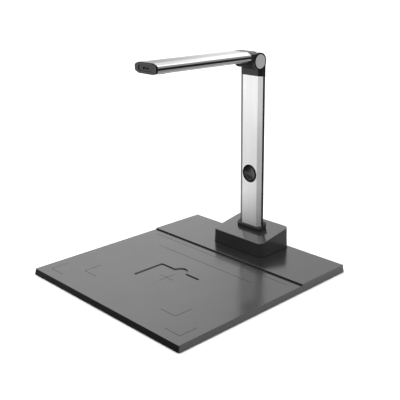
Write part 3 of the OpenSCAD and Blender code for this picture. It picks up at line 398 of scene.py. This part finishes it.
def bends(before, corner, after, soft, steps):
    # quadratic curve about each corner, from the soft length before it to the soft length after it
    a = corner + (before - corner) / np.linalg.norm(before - corner, axis=1, keepdims=True) * soft
    b = corner + (after - corner) / np.linalg.norm(after - corner, axis=1, keepdims=True) * soft
    s = np.linspace(0, 1, steps)[None, :, None]
    curve = (1 - s) ** 2 * a[:, None] + 2 * s * (1 - s) * corner[:, None] + s ** 2 * b[:, None]
    return curve.reshape(-1, 2)


def rounded(points, soft, steps=4):
    # open line with a curve in place of each inner corner
    points = np.asarray(points, float)
    curve = bends(points[:-2], points[1:-1], points[2:], soft, steps)
    return np.concatenate([points[:1], curve, points[-1:]])


# axes across a turned piece that faces down, to the rear or to the front
down, toRear, toFront = ((1, 0, 0), (0, -1, 0)), ((0, 0, 1), (1, 0, 0)), ((1, 0, 0), (0, 0, 1))


def lathe(profile, centre, acrossA, acrossB, steps=64):
    # profile of radius and depth turned about the axis; depth runs away from the side that the cross product
    # of the two axes across faces
    radius, depth = np.asarray(profile, float).T
    turn = np.arange(steps) * 2 * np.pi / steps
    a, b = np.asarray(acrossA, float), np.asarray(acrossB, float)
    ring = np.cos(turn)[:, None] * a + np.sin(turn)[:, None] * b
    inward = depth[:, None, None] * np.cross(a, b)
    return sheet(np.asarray(centre, float) + radius[:, None, None] * ring[None] - inward, wrapCols=True)


def rimEdge(radius):
    # rounded outer edge of a turned face
    return [(radius - 0.3, 0), (radius - 0.08, 0.08), (radius, 0.3)]


# all screws: the cross's half width, reach and depth are shares of the head and its thickness
screwForm = dict(head=3.8, thick=0.9, proud=0.1, steps=64, rings=12,
                 crossHalf=0.075, crossReach=0.34, crossDeep=0.6)


def screw(f, shank, length, centre, acrossA, acrossB):
    # lathe-turned head on a shank, a cross sunk into the head where either arm of the cross is narrow enough
    turn = np.arange(f["steps"]) * 2 * np.pi / f["steps"]
    face = np.concatenate([[0], np.linspace(0.12, 0.72, f["rings"]), [0.86, 0.96, 1, 1]]) * f["head"] / 2
    radius = np.concatenate([face, [shank / 2, shank / 2, 0]])
    depth = np.concatenate([np.zeros(f["rings"] + 2), [0.03, 0.12, f["thick"], f["thick"], length, length]])
    x, y = radius[:, None] * np.cos(turn), radius[:, None] * np.sin(turn)
    cross = np.minimum(np.abs(x), np.abs(y)) < f["crossHalf"] * f["head"]
    within = (np.hypot(x, y) < f["crossReach"] * f["head"]) & (np.arange(len(radius)) < f["rings"])[:, None]
    sunk = (cross & within) * f["thick"] * f["crossDeep"]
    a, b = np.asarray(acrossA, float), np.asarray(acrossB, float)
    inward = (depth[:, None] + sunk)[..., None] * np.cross(a, b)
    return sheet(np.asarray(centre, float) + x[..., None] * a + y[..., None] * b - inward, wrapCols=True)


# copy board: side walls swept round the edge, copy face as a height field, rear deck as a second slab
board = dict(halfX=166.7, halfY=170.9, bottom=1.0, top=10.0, flare=2.0, round=2.0, fillet=0.6, edge=0.4,
             wall=2.5, ceiling=6.6, margin=4.0, stepY=70.2, deck=12.3, deckRound=0.9, deckSunk=1.2, copyY=-48.4,
             pocket=(43.2, 28.0), pocketRound=3.0, pocketDeep=1.5, pocketWall=0.6, thumb=12.5, reach=11.0,
             pitch=0.4, fineX=(-46, 46.2), fineY=(-79, -6.8), coarseX=(60, 105), coarseY=(-120, 20, 66))


def faceLines(b):
    # grid lines of the copy face, close together where the pocket is
    near, far = b["coarseX"]
    front, *rear = b["coarseY"]
    xs = np.concatenate([[-far, -near], np.arange(*b["fineX"], b["pitch"]), [near, far]])
    ys = np.concatenate([[front], np.arange(*b["fineY"], b["pitch"]), rear])
    return xs, ys


def boardSides(b):
    # rounded rectangles drawn out from the copy face, over the edge, down the leaning wall and up inside, with
    # the face's lines on their sides
    inset, drop = edgeArc(b["fillet"])
    under = [-b["flare"], b["edge"] - b["flare"], b["wall"], b["wall"], b["halfY"]]
    heights = [b["bottom"] + b["edge"], b["bottom"], b["bottom"], b["ceiling"], b["ceiling"]]
    inset = np.concatenate([[b["margin"]], inset, under])
    height = np.concatenate([[b["top"]], b["top"] - drop, heights])
    path = roundRect(b["halfX"] - inset, b["halfY"] - inset, np.maximum(b["round"] - inset, 0))
    xs, ys = faceLines(b)
    parts = []
    for quarter, along, axis in zip(np.split(path, 4, 1), (xs[::-1], ys[::-1], xs, ys), (0, 1, 0, 1)):
        side = np.repeat(quarter[:, -1:], len(along), 1)
        side[..., axis] = np.clip(along, -np.abs(side[..., axis]), np.abs(side[..., axis]))
        parts += [quarter, side]
    return sheet(raised(np.concatenate(parts, 1), height[:, None]), wrapCols=True)


def copyFace(b):
    # height falls by the pocket depth inside a rounded box joined with the thumb circle, over a narrow wall
    halves = b["halfX"] - b["margin"], b["halfY"] - b["margin"]
    xs, ys = [np.concatenate([[-half], line, [half]]) for half, line in zip(halves, faceLines(b))]
    x, y = np.meshgrid(xs, ys, indexing="ij")
    qx = np.abs(x) - b["pocket"][0] + b["pocketRound"]
    qy = np.abs(y - b["copyY"]) - b["pocket"][1] + b["pocketRound"]
    box = np.hypot(np.maximum(qx, 0), np.maximum(qy, 0)) + np.minimum(np.maximum(qx, qy), 0) - b["pocketRound"]
    thumb = np.hypot(x, y - b["copyY"] - b["pocket"][1] - b["reach"] + b["thumb"]) - b["thumb"]
    s = np.clip(0.5 - np.minimum(box, thumb) / b["pocketWall"], 0, 1)
    return sheet(np.stack([x, y, b["top"] - b["pocketDeep"] * s * s * (3 - 2 * s)], -1))


def deckSlab(b):
    # slab over the rear of the board: flat top, rounded edge, upright sides down into the board
    inset, drop = edgeArc(b["fillet"])
    halfY, midY = (b["halfY"] - b["stepY"]) / 2, (b["halfY"] + b["stepY"]) / 2
    inset = np.concatenate([[halfY], inset, [0, halfY]])
    height = np.concatenate([[b["deck"]], b["deck"] - drop, [b["top"] - b["deckSunk"]] * 2])
    path = roundRect(b["halfX"] - inset, halfY - inset, np.maximum(b["deckRound"] - inset, 0))
    return sheet(raised(path + np.array([0, midY]), height[:, None]), wrapCols=True)


boardParts = [boardSides(board), copyFace(board), deckSlab(board)]
piece("copyBoard", boardParts, "stand", ["base_board"], boardPlastic)

# page marks: flat inlaid lines for the larger and the smaller page, and a cross in the card pocket
marks = dict(pages=((148.5, 105.0), (105.0, 74.0)), arm=30.0, width=1.0, cross=15.0, lift=0.02, deep=0.2,
             corner=1.6, over=0.01)


def inlay(path, top, m):
    # rectangle of the line's width carried along the path, square to it, its ends closed
    path = np.asarray(path, float)
    ahead = np.gradient(path, axis=0)
    ahead /= np.linalg.norm(ahead, axis=1, keepdims=True)
    side = np.stack([-ahead[:, 1], ahead[:, 0]], -1) * m["width"] / 2
    edges = np.stack([path + side, path + side, path - side, path - side], 1)
    grid = raised(edges, np.array([top + m["lift"], top - m["deep"], top - m["deep"], top + m["lift"]]))
    ends = np.broadcast_to(grid[[0, -1]].mean(1, keepdims=True), (2,) + grid.shape[1:])
    return sheet(np.concatenate([ends[:1], grid, ends[1:]]), wrapCols=True)


def markLines(b, m):
    # front corner angles and one full rear line for each page, then the two strokes of the cross
    lines = []
    for hx, hy in m["pages"]:
        for s in (1, -1):
            bend = rounded([(s * (hx - m["arm"]), -hy), (s * hx, -hy), (s * hx, m["arm"] - hy)], m["corner"])
            lines.append((bend[::s], b["top"]))
        end = hx + m["width"] / 2
        lines.append(([(-end, hy), (end, hy)], b["top"]))
    floor = b["top"] - b["pocketDeep"]
    lines.append(([(-m["cross"], 0), (m["cross"], 0)], floor))
    lines.append(([(0, -m["cross"]), (0, m["cross"])], floor + m["over"]))
    return [inlay(path + np.array([0, b["copyY"]]), top, m) for path, top in lines]


piece("pageLines", markLines(board, marks), "stand", [], lineInk)
print("board made")

# foot block: leaning sides, rounded upright corners and a top that slopes up to the rear; lean is how far the
# rear face stands out above the socket, at its top and at its foot
block = dict(midX=stemX, halfX=55.5, front=98.5, rear=169.9, bottom=12.3, rise=(22.4, 34.6), draft=1.2,
             round=10.0, fillet=0.9, gap=0.9, steps=10, socket=(-18.25, -5.75, 16.95, 28.25), socketDeep=4.0,
             lean=(0.2, 0.35, 0.7))


def slopeTop(y, b):
    # straight slope from the front height to the rear height
    share = (y - b["front"] - b["draft"]) / (b["rear"] - b["front"] - 2 * b["draft"])
    return b["bottom"] + b["rise"][0] + (b["rise"][1] - b["rise"][0]) * share


def blockShell(b):
    # rings from the middle of the top over the edge and down to a shadow line at the deck, open at the socket
    inset, drop = edgeArc(b["fillet"])
    halfY, midY = (b["rear"] - b["front"]) / 2, (b["rear"] + b["front"]) / 2
    foot = b["gap"] - b["draft"]
    sides = [-out for out in b["lean"]] + [-b["draft"], foot, foot, halfY]
    inset = np.concatenate([[halfY - b["draft"]], inset, sides]) + b["draft"]
    path = roundRect(b["halfX"] - inset, halfY - inset, np.maximum(b["round"] - inset, 0), b["steps"])
    x0, x1, z0, z1 = b["socket"]
    gap = np.repeat(np.stack([[x1 - b["midX"], x0 - b["midX"]], [0, 0]], -1)[None], len(path), 0)
    gap[..., 1] = path[:, b["steps"] - 1, None, 1]
    gap[..., 0] = np.clip(gap[..., 0], -path[:, :1, 0], path[:, :1, 0])
    path = np.concatenate([path[:, :b["steps"]], gap, path[:, b["steps"]:]], 1)
    path[[0, -1]] = 0
    path = path + np.array([b["midX"], midY])
    z = slopeTop(path[..., 1], b) - np.concatenate([[0], drop, np.zeros(len(sides))])[:, None]
    side = 1 + len(drop)
    z[side] = z[side - 1] * 0.5 + z1 * 0.5
    z[side + 1] = z1
    z[side + 2] = z0
    z[side + 3:side + 5] = b["bottom"] + b["gap"]
    z[side + 5:] = b["bottom"]
    keep = np.ones((len(path) - 1, path.shape[1]), bool)
    keep[side + 1, b["steps"]] = False
    return sheet(raised(path, z), wrapCols=True, keep=keep)


def socketMouth(b):
    # four walls from the hole in the block's rear face in to the socket, and a flat back
    x0, x1, z0, z1 = b["socket"]
    upper, lower = [b["rear"] - b["draft"] + out for out in b["lean"][1:]]
    mouth = np.array([(x1, upper, z1), (x0, upper, z1), (x0, lower, z0), (x1, lower, z0)])
    inner = mouth * [1, 0, 1] + [0, b["rear"] - b["socketDeep"], 0]
    return sheet(np.stack([mouth, inner, np.broadcast_to(inner.mean(0), inner.shape)]), wrapCols=True)


blockParts = [blockShell(block), socketMouth(block)]
piece("footBlock", blockParts, "stand", ["foot_block"], blockPlastic, sharp=40)

# collar round the column's foot, rim rising to the rear
collar = dict(midX=stemX, halfX=26.4, front=126.8, rear=145.9, rim=(46.42, 53.42), round=5.0, least=1.5,
              fillet=0.7, inside=8.0, sunk=0.1)


def collarRing(c, b):
    # rounded rectangles from inside the column up to the rim, over it and down to the block's slope
    halfY, midY = (c["rear"] - c["front"]) / 2, (c["rear"] + c["front"]) / 2
    inset, drop = edgeArc(c["fillet"])
    inset = np.concatenate([[c["inside"]] * 2, inset, [0], [c["inside"]] * 2])
    corner = np.maximum(c["round"] - inset, c["least"])
    path = roundRect(c["halfX"] - inset, halfY - inset, corner) + np.array([c["midX"], midY])
    share = (path[..., 1] - c["front"]) / (c["rear"] - c["front"])
    rim = c["rim"][0] + (c["rim"][1] - c["rim"][0]) * share
    foot = slopeTop(path[..., 1], b) - c["sunk"]
    z = rim - np.concatenate([[0, 0], drop, [0, 0, 0]])[:, None]
    z[0] = foot[0]
    z[-3:] = foot[-3:]
    return sheet(raised(path, z), wrapCols=True)


piece("columnCollar", [collarRing(collar, block)], "stand", ["stand_collar"], blackPlastic)
print("foot made")

# column: two bevelled metal shells either side of a black strip, round dock in the front one
column = dict(midX=stemX, face=129.8, width=46.8, depth=13.1, bevel=(7.4, 3.8), shell=1.5, low=16.3, high=295.5,
              soft=0.8, drop=5.3, gridHalf=15.0, rows=(230.0, 80.0), screwX=11.0, screwZ=(255.5, 76.3))
dock = dict(radius=14.8, hollow=11.9, deep=3.0, grooves=(5.6, 9.2), cut=0.1, grooveHalf=0.2, length=4.2,
            lip=0.15, lap=1.1, patch=16.0)
headGrid = dict(reach=2.4, pitch=0.4, hole=1.5)  # grid lines round a screw head, and the hole left under it
spare = 0.1  # lets a range of grid lines take in its end


def hullPair(b, across, tighter=0.6, steps=5):
    # outer line of a bevelled half section with soft bends and points across its face, and the same moved in
    # by the wall with tighter bends
    bx, by = b["bevel"]
    shell, half = b["shell"], b["width"] / 2
    wall = half - shell
    inX = bx - shell + shell * (math.hypot(bx, by) - bx) / by
    outer = rounded([(-half, by), (bx - half, 0), (half - bx, 0), (half, by)], b["soft"], steps)
    inside = [(-wall, by), (inX - wall, shell), (wall - inX, shell), (wall, by)]
    inner = rounded(inside, b["soft"] * tighter, steps)
    cut = len(outer) // 2
    pair = []
    for line in (outer, inner):
        pair.append(np.concatenate([line[:cut], [(x, line[cut, 1]) for x in across], line[cut:]]))
    return pair


def deepPair(b, across, ease=0.5):
    # the same half section with upright sides added from just below the bevel down to the strip
    low = b["bevel"][1] + ease
    halves = b["width"] / 2, b["width"] / 2 - b["shell"]
    pair = []
    for w, line in zip(halves, hullPair(b, across)):
        pair.append(np.concatenate([[(-w, b["drop"]), (-w, low)], line[1:-1], [(w, low), (w, b["drop"])]]))
    return pair


def outside(grid, axes, rounds, boxes=()):
    # true for faces whose middle lies outside every circle and box, seen along the axis left out
    mid = (grid[:-1] + grid[1:]) / 2
    a, b = np.moveaxis(((mid[:, :-1] + mid[:, 1:]) / 2)[..., axes], -1, 0)
    keep = np.ones(a.shape, bool)
    for x, y, r in rounds:
        keep &= np.hypot(a - x, b - y) > r
    for x0, x1, y0, y1 in boxes:
        keep &= (a < x0) | (a > x1) | (b < y0) | (b > y1)
    return keep


def holeWalls(keep, wide):
    # one quad from the outer to the inner surface on each grid edge between a kept and a left-out face
    i, j = np.nonzero(keep[:, :-1] != keep[:, 1:])
    p, q = i * wide + j + 1, (i + 1) * wide + j + 1
    first, second = np.where(keep[i, j], p, q), np.where(keep[i, j], q, p)
    k, l = np.nonzero(keep[:-1] != keep[1:])
    p, q = (k + 1) * wide + l, (k + 1) * wide + l + 1
    first = np.concatenate([first, np.where(keep[k, l], q, p)])
    second = np.concatenate([second, np.where(keep[k, l], p, q)])
    inside = [n // wide * wide + wide - 1 - n % wide for n in (second, first)]
    return np.stack([first, second, *inside], -1)


def seated(midX, start, sign, upright):
    # section points in space: across and inward times the sign, stations up the column or along the arm
    def seat(section, station):
        # every section point at every station
        across, inward = midX + sign * section[..., 0], start + sign * section[..., 1]
        across, inward, station = np.broadcast_arrays(across, inward, station)
        return np.stack([across, inward, station] if upright else [across, station, inward], -1)

    return seat


def shellBar(outer, inner, stations, seat, keep=None):
    # closed strip section carried along the stations, open where told, ends closed between its outer and inner
    # lines
    body = seat(np.concatenate([outer, inner[::-1]])[None], np.asarray(stations, float)[:, None])
    n = len(outer)
    kept = np.ones((len(body) - 1, n - 1), bool) if keep is None else keep(body[:, :n])
    side = np.ones((len(body) - 1, 1), bool)
    faces = quads(len(body), 2 * n, wrapCols=True, keep=np.concatenate([kept, side, kept[:, ::-1], side], 1))
    bar = body.reshape(-1, 3), np.concatenate([faces, holeWalls(kept, 2 * n)])
    lastEnd = seat(np.stack([outer, inner]), np.full((2, 1), stations[-1]))
    firstEnd = seat(np.stack([inner, outer]), np.full((2, 1), stations[0]))
    return [bar, sheet(lastEnd), sheet(firstEnd)]


def columnFront(c, d):
    # front shell, its faces under the dock's rim left out
    outer, inner = hullPair(c, np.arange(-c["gridHalf"], c["gridHalf"] + spare))
    above, below = c["rows"]
    middle = dockMiddle[2]
    patch = np.arange(middle + d["patch"], middle - d["patch"] - spare, -1)
    heights = np.concatenate([[c["high"], above], patch, [below, c["low"]]])
    hidden = [(c["midX"], middle, d["radius"] - d["lap"])]
    seat = seated(c["midX"], c["face"], 1, True)
    return shellBar(outer, inner, heights, seat, lambda grid: outside(grid, (0, 2), hidden))


def columnRear(c, g):
    # rear shell, the same section turned about, open under its screw heads
    outer, inner = deepPair(c, np.arange(-c["gridHalf"], c["gridHalf"] + spare, g["pitch"]))
    rows = [np.arange(z + g["reach"], z - g["reach"] - spare, -g["pitch"]) for z in c["screwZ"]]
    heights = np.concatenate([[c["high"]], *rows, [c["low"]]])
    heads = [(c["midX"] + sx * c["screwX"], z, g["hole"]) for sx in (-1, 1) for z in c["screwZ"]]
    seat = seated(c["midX"], c["face"] + c["depth"], -1, True)
    return shellBar(outer, inner, heights, seat, lambda grid: outside(grid, (0, 2), heads))


def dockDish(d):
    # hollow part of a ball with shallow rounded grooves, flat rim, rounded outer edge and side, turned about
    # the depth axis
    ball = (d["hollow"] ** 2 + d["deep"] ** 2) / (2 * d["deep"])
    radius = np.linspace(0, d["hollow"] - d["lip"], 90)
    groove = np.exp(-((radius[:, None] - np.asarray(d["grooves"])) / d["grooveHalf"]) ** 2).sum(1)
    depth = np.sqrt(ball ** 2 - radius ** 2) - ball + d["deep"] + d["cut"] * groove
    rim = [(d["hollow"] + d["lip"], 0)] + rimEdge(d["radius"]) + [(d["radius"], d["length"]), (0, d["length"])]
    return lathe(np.concatenate([np.stack([radius, depth], -1), rim]), dockMiddle, *toFront, 96)


piece("columnFront", columnFront(column, dock), "stand", ["column_front_shell"], columnMetal)
piece("lensDock", [dockDish(dock)], "stand", ["lens_dock"], dockPlastic, sharp=40)
piece("columnRear", columnRear(column, headGrid), "stand", ["column_rear_shell"], rearMetal)
softened("hingeCap", "hinge_cap", "stand", capPlastic, 0.5, sharp=20)

# saddle of the hinge cap: hollow rib that follows the barrel from below to behind it
saddle = dict(halfX=18.1, radius=12.4, arc=(13, 46), top=307.1, sunk=0.4, back=139.4, soft=0.5)


def saddleRib(s):
    # section of an arc about the pivot, a rounded crest and a slope back down, carried across between the ears
    turn = np.radians(np.linspace(*s["arc"], 14))
    arc = np.stack([pivot[1] + s["radius"] * np.sin(turn), pivot[2] - s["radius"] * np.cos(turn)], -1)
    low = s["top"] - s["sunk"]
    crest = rounded([arc[-2], arc[-1], (s["back"], low)], s["soft"])[1:]
    section = np.concatenate([[(arc[0, 0], low)], arc[:-1], crest])
    sides = np.array([-s["halfX"], s["halfX"]]) + pivot[0]
    grid = np.stack([np.insert(section, 0, x, axis=1) for x in sides])
    middle = section.mean(0)
    ends = [np.stack([g, np.broadcast_to([x, *middle], g.shape)])[::k] for g, x, k in zip(grid, sides, (-1, 1))]
    return [sheet(grid, wrapCols=True)] + [sheet(e, wrapCols=True) for e in ends]


piece("capSaddle", saddleRib(saddle), "stand", [], capPlastic)
print("column made")

# hinge discs with a raised rim, turned
disc = dict(radius=11.2, proud=0.1, thick=1.4, right=23.4, left=21.4, rim=1.3, ramp=0.3, sunk=0.18)


def discFace(d, side):
    # sunk middle, rounded rim, side and back
    inner = d["radius"] - d["rim"]
    face = [(0, d["sunk"]), (inner - d["ramp"], d["sunk"]), (inner, 0)]
    profile = face + rimEdge(d["radius"]) + [(d["radius"], d["thick"]), (0, d["thick"])]
    axes = ((0, 1, 0), (0, 0, 1)) if side > 0 else ((0, 0, 1), (0, 1, 0))
    out = d["right" if side > 0 else "left"] + d["proud"]
    return lathe(profile, (pivot[0] + side * out, pivot[1], pivot[2]), *axes, 80)


discs = [discFace(disc, 1), discFace(disc, -1)]
piece("hingeDiscs", discs, "stand", ["hinge_discs"], discMetal, sharp=25)

# arm: bevelled upper shell, lower shell, knuckle and end cap; screws by place across, place along and length
arm = dict(midX=stemX, under=318.9, thick=15.6, width=46.8, bevel=(8.1, 3.2), shell=1.5, near=106.2, far=-76.6,
           soft=0.9, drop=6.2, gridHalf=13.6, lensGrid=(11.0, 0.75), lensHole=9.5,
           lamp=(-11.0, 17.0, -33.5, -24.5), screws=((13, -5.0, 5.0), (13, 80.2, 5.0), (8, 96.2, 7.4)))


def armTop(a):
    # upper shell: half section turned over, carried from the far end to the near end
    seat = seated(a["midX"], a["under"] + a["thick"], -1, False)
    return shellBar(*deepPair(a, [0]), [a["far"], a["near"]], seat)


def armBottom(a, g):
    # lower shell, open under the lens ring and the screw heads and at the lamp
    x0, x1, y0, y1 = a["lamp"]
    reach, pitch = a["lensGrid"]
    lensX, lensY, _ = lensMiddle
    ring = np.arange(lensY - reach, lensY + reach + spare, pitch)
    rows = [np.arange(y - g["reach"], y + g["reach"] + spare, g["pitch"]) for _, y, _ in a["screws"]]
    lines = np.concatenate([[a["far"]], ring, [y0, y1], *rows, [a["near"]]])
    face = np.arange(-a["gridHalf"], a["gridHalf"] + spare, g["pitch"])
    across = np.concatenate([[x0 - a["midX"]], face, [x1 - a["midX"]]])
    rounds = [(a["midX"] + sx * x, y, g["hole"]) for x, y, _ in a["screws"] for sx in (-1, 1)]
    rounds.append((lensX, lensY, a["lensHole"]))
    seat = seated(a["midX"], a["under"], 1, False)
    return shellBar(*deepPair(a, across), lines, seat, lambda grid: outside(grid, (0, 1), rounds, [a["lamp"]]))


piece("armTop", armTop(arm), "arm", ["arm_top_shell"], armMetal)
piece("armBottom", armBottom(arm, headGrid), "arm", ["arm_bottom_shell"], underMetal)
softened("armKnuckle", "arm_knuckle", "arm", knucklePlastic, 0.5)

# end cap: rounded octagon with a sunk panel and a round hole for the lamp key
tip = dict(midX=stemX, midZ=326.7, face=-79.3, length=2.7, width=46.8, thick=15.6, bevel=(8.1, 3.2), soft=2.4,
           fillet=0.7, panel=(15.0, 4.0), panelRound=3.4, panelEdge=(0.2, 0.25), sunk=0.9, key=-3.4, hole=1.58)


def octagonRing(width, thick, bevel, soft, steps=4):
    # eight corners anticlockwise from the right upper one, each replaced by a curve
    w, t, (bx, by) = width / 2, thick / 2, bevel
    upper = [(w, t - by), (w - bx, t), (bx - w, t), (-w, t - by)]
    corner = np.array(upper + [(-x, -z) for x, z in upper])
    return bends(np.roll(corner, 1, 0), corner, np.roll(corner, -1, 0), soft, steps)


def tipRings(t):
    # rings of 32 points out of the key hole, over the panel's floor, up its wall, out over the face, back along
    # the side and in to the hole again
    turn = np.arange(32) * 2 * np.pi / 32
    hole = np.stack([np.cos(turn), np.sin(turn)], -1) * t["hole"] + np.array([t["key"], 0])
    grow, step = t["panelEdge"]
    panel = [roundRect(t["panel"][0] + g, t["panel"][1] + g, t["panelRound"] + g)[0] for g in (0, 0, grow)]
    inset, drop = edgeArc(t["fillet"])
    outer = [octagonRing(t["width"] - 2 * i, t["thick"] - 2 * i, t["bevel"], t["soft"]) for i in inset]
    path = np.stack([hole, hole] + panel + outer + [outer[-1], hole])
    depth = np.concatenate([[t["length"], t["sunk"], t["sunk"], step, 0], drop, [t["length"], t["length"]]])
    y = np.broadcast_to(t["face"] + depth[:, None], path.shape[:2])
    return sheet(np.stack([path[..., 0] + t["midX"], y, path[..., 1] + t["midZ"]], -1), wrapCols=True)


piece("armEndCap", [tipRings(tip)], "arm", ["arm_end_cap"], tipPlastic, sharp=40)
print("arm made")

# lens ring, barrel and front lens, all turned
lens = dict(under=318.9, ring=11.0, flange=1.5, proud=1.3, barrel=7.0, barrelIn=0.3, barrelLong=11.6, glass=5.0,
            glassOut=0.6, glassThick=2.2, bulge=0.8)


def lensRing(p):
    # rounded ring with a sloping inner lip and a flange behind the shell
    r, b, f = p["ring"], p["barrel"], p["ring"] + p["flange"]
    lip = [(b, 3.8), (b, 0.9), (b + 0.2, 0.6), (r - 1.6, 0.0), (r - 0.4, 0.0), (r - 0.1, 0.12), (r, 0.4)]
    behind = [(r, 2.8), (f, 2.8), (f, 4.0), (b, 4.0), (b, 3.8)]
    return lathe(lip + behind, lensMiddle[:2] + (p["under"] - p["proud"],), *down, 80)


def lensBarrel(p):
    # stepped mouth narrowing to the glass, closed behind
    b, g, long = p["barrel"], p["glass"], p["barrelLong"]
    step = [(0, 3.4), (g - 1, 3.4), (g - 1, 1.9), (g, 1.9), (g, 0.5)]
    mouth = [(g + 0.2, 0.25), (g + 0.9, 0.25), (g + 1.0, 0.0)]
    body = [(b - 0.2, 0.0), (b, 0.2), (b, long), (0, long)]
    return lathe(step + mouth + body, lensMiddle[:2] + (p["under"] - p["proud"] + p["barrelIn"],), *down, 80)


def frontLens(p):
    # shallow ball cap in front, flat behind
    g, h = p["glass"], p["bulge"]
    ball = (g * g + h * h) / (2 * h)
    radius = np.linspace(0, g, 14)
    dome = np.stack([radius, ball - np.sqrt(ball ** 2 - radius ** 2)], -1)
    behind = [(g, p["glassThick"]), (0, p["glassThick"])]
    return lathe(np.concatenate([dome, behind]), lensMiddle[:2] + (p["under"] - p["glassOut"],), *down, 64)


piece("lensRing", [lensRing(lens)], "arm", ["lens_ring"], ringMetal, sharp=40)
piece("lensBarrel", [lensBarrel(lens)], "arm", ["lens_barrel"], blackPlastic)
piece("frontLens", [frontLens(lens)], "arm", ["front_lens"], lensGlass, sharp=50)

# lamp key in the end cap's panel
key = dict(radius=1.5, length=2.2, proud=0.3, crown=0.12)


def keyCap(k, t):
    # domed face, rounded edge and stem, turned about the key's travel
    r = k["radius"]
    radius = np.linspace(0, r - 0.25, 8)
    dome = np.stack([radius, k["crown"] * (radius / r) ** 2], -1)
    side = [(r - 0.08, 0.17), (r, 0.35), (r, k["length"]), (0, k["length"])]
    centre = (t["midX"] + t["key"], t["face"] - k["proud"], t["midZ"])
    return lathe(np.concatenate([dome, side]), centre, *toFront, 48)


piece("lampKey", [keyCap(key, tip)], "key", ["lamp_key"], glossBlack, sharp=50)
print("camera end made")

# feet that show from below
foot = dict(radius=7.0, length=1.8, hollow=0.1, spot=(139.7, 144.9))


def footPad(f, sx, sy):
    # shallow hollow, rounded tread and side, turned
    r = f["radius"]
    tread = [(0, f["hollow"]), (r - 1.4, f["hollow"]), (r - 1.0, 0.0), (r - 0.5, 0.04)]
    side = [(r - 0.1, 0.3), (r, 0.6), (r, f["length"]), (0, f["length"])]
    return lathe(tread + side, (sx * f["spot"][0], sy * f["spot"][1], 0), *down)


feet = [footPad(foot, sx, sy) for sx in (-1, 1) for sy in (-1, 1)]
piece("rubberFeet", feet, "stand", ["rubber_feet"], rubber)

# screws that show from below and behind, by their places and the sizes of their shanks
coverScrew = dict(across=155.7, along=161.9, shank=3.0, length=6.4)
shellScrew = dict(shank=2.0, length=4.0)
coverX, coverY = coverScrew["across"], coverScrew["along"]
coverSpots = [(sx * coverX, sy * coverY, board["bottom"]) for sx in (-1, 1) for sy in (-1, 0, 1)]
coverSpots.append((0, -coverY, board["bottom"]))
coverScrews = [screw(screwForm, coverScrew["shank"], coverScrew["length"], spot, *down) for spot in coverSpots]
piece("coverScrews", coverScrews, "stand", ["base_screws"], screwSteel)
armFace = arm["under"] - screwForm["proud"]
armSpots = [(arm["midX"] + sx * x, y, deep) for x, y, deep in arm["screws"] for sx in (-1, 1)]
armScrews = [screw(screwForm, shellScrew["shank"], deep, (x, y, armFace), *down) for x, y, deep in armSpots]
piece("armScrews", armScrews, "arm", ["arm_screws"], screwSteel)
rearFace = column["face"] + column["depth"] + screwForm["proud"]
rearSpots = [(column["midX"] + sx * column["screwX"], rearFace, z) for sx in (-1, 1) for z in column["screwZ"]]
columnScrews = [screw(screwForm, shellScrew["shank"], shellScrew["length"], spot, *toRear) for spot in rearSpots]
piece("columnScrews", columnScrews, "stand", ["column_screws"], screwSteel)
print("feet and screws made")

# finishes of the CAD nodes that keep their own shape
kept = dict(base_cover=coverPlastic, ballast_plate=steel, block_screws=screwSteel, column_spine=stripPlastic,
            plate_screws=screwSteel, cap_screws=screwSteel, hinge_shaft=steel, friction_washers=steel,
            main_board=circuit, board_screws=screwSteel, usb_shell=socketMetal, usb_insulator=insulator,
            arm_core=stripPlastic, camera_board=circuit, camera_screws=screwSteel, image_sensor=silicon,
            lamp_board=lampCircuit, lamp_leds=emitter, lamp_window=clearWindow, indicator_window=glossBlack,
            key_switch=blackPlastic)
for name, mat in kept.items():
    cadNode[name].data.materials.clear()
    cadNode[name].data.materials.append(mat)

# white studio: pale floor, sky bright above and behind, dim low in front, at full strength only far to the left
ground = dict(half=30.0, tone=0.93)
floorMesh = bpy.data.meshes.new("floor")
corners = [(sx * ground["half"], sy * ground["half"], 0) for sx, sy in ((-1, -1), (1, -1), (1, 1), (-1, 1))]
floorMesh.from_pydata(corners, [], [(0, 1, 2, 3)])
floor = bpy.data.objects.new("floor", floorMesh)
scene.collection.objects.link(floor)
floorMat = bpy.data.materials.new("floor")
floorMat.use_nodes = True
floorShader = floorMat.node_tree.nodes["Principled BSDF"]
floorShader.inputs["Base Color"].default_value = (ground["tone"], ground["tone"], ground["tone"], 1)
floorShader.inputs["Roughness"].default_value = 1.0
floorShader.inputs["Specular IOR Level"].default_value = 0.0
floorMesh.materials.append(floorMat)

glow = dict(overhead=(0.2, 0.55), top=2.4, depth=(-0.5, 0.6), low=(0.12, 1.0), aside=(-0.69, -0.57), dim=0.68)
sky = bpy.data.worlds.new("sky")
scene.world = sky
sky.use_nodes = True
skyTree = sky.node_tree
skyCoords = nodeAt(skyTree, "ShaderNodeTexCoord")
skyParts = nodeAt(skyTree, "ShaderNodeSeparateXYZ", [(0, skyCoords.outputs["Generated"])])
overhead = between(skyTree, skyParts.outputs[2], 0, 1, *glow["overhead"])
behind = between(skyTree, skyParts.outputs[1], *glow["low"], *glow["depth"])
blend = [("Factor", overhead), ("A", behind), ("B", glow["top"])]
level = nodeAt(skyTree, "ShaderNodeMix", blend, data_type="FLOAT")
aside = between(skyTree, skyParts.outputs[0], 1.0, glow["dim"], *glow["aside"])
strength = nodeAt(skyTree, "ShaderNodeMath", [(0, level.outputs[0]), (1, aside)], operation="MULTIPLY")
skyTree.links.new(strength.outputs[0], skyTree.nodes["Background"].inputs["Strength"])
skyTree.nodes["Background"].inputs["Color"].default_value = (1, 1, 1, 1)
print("studio made")
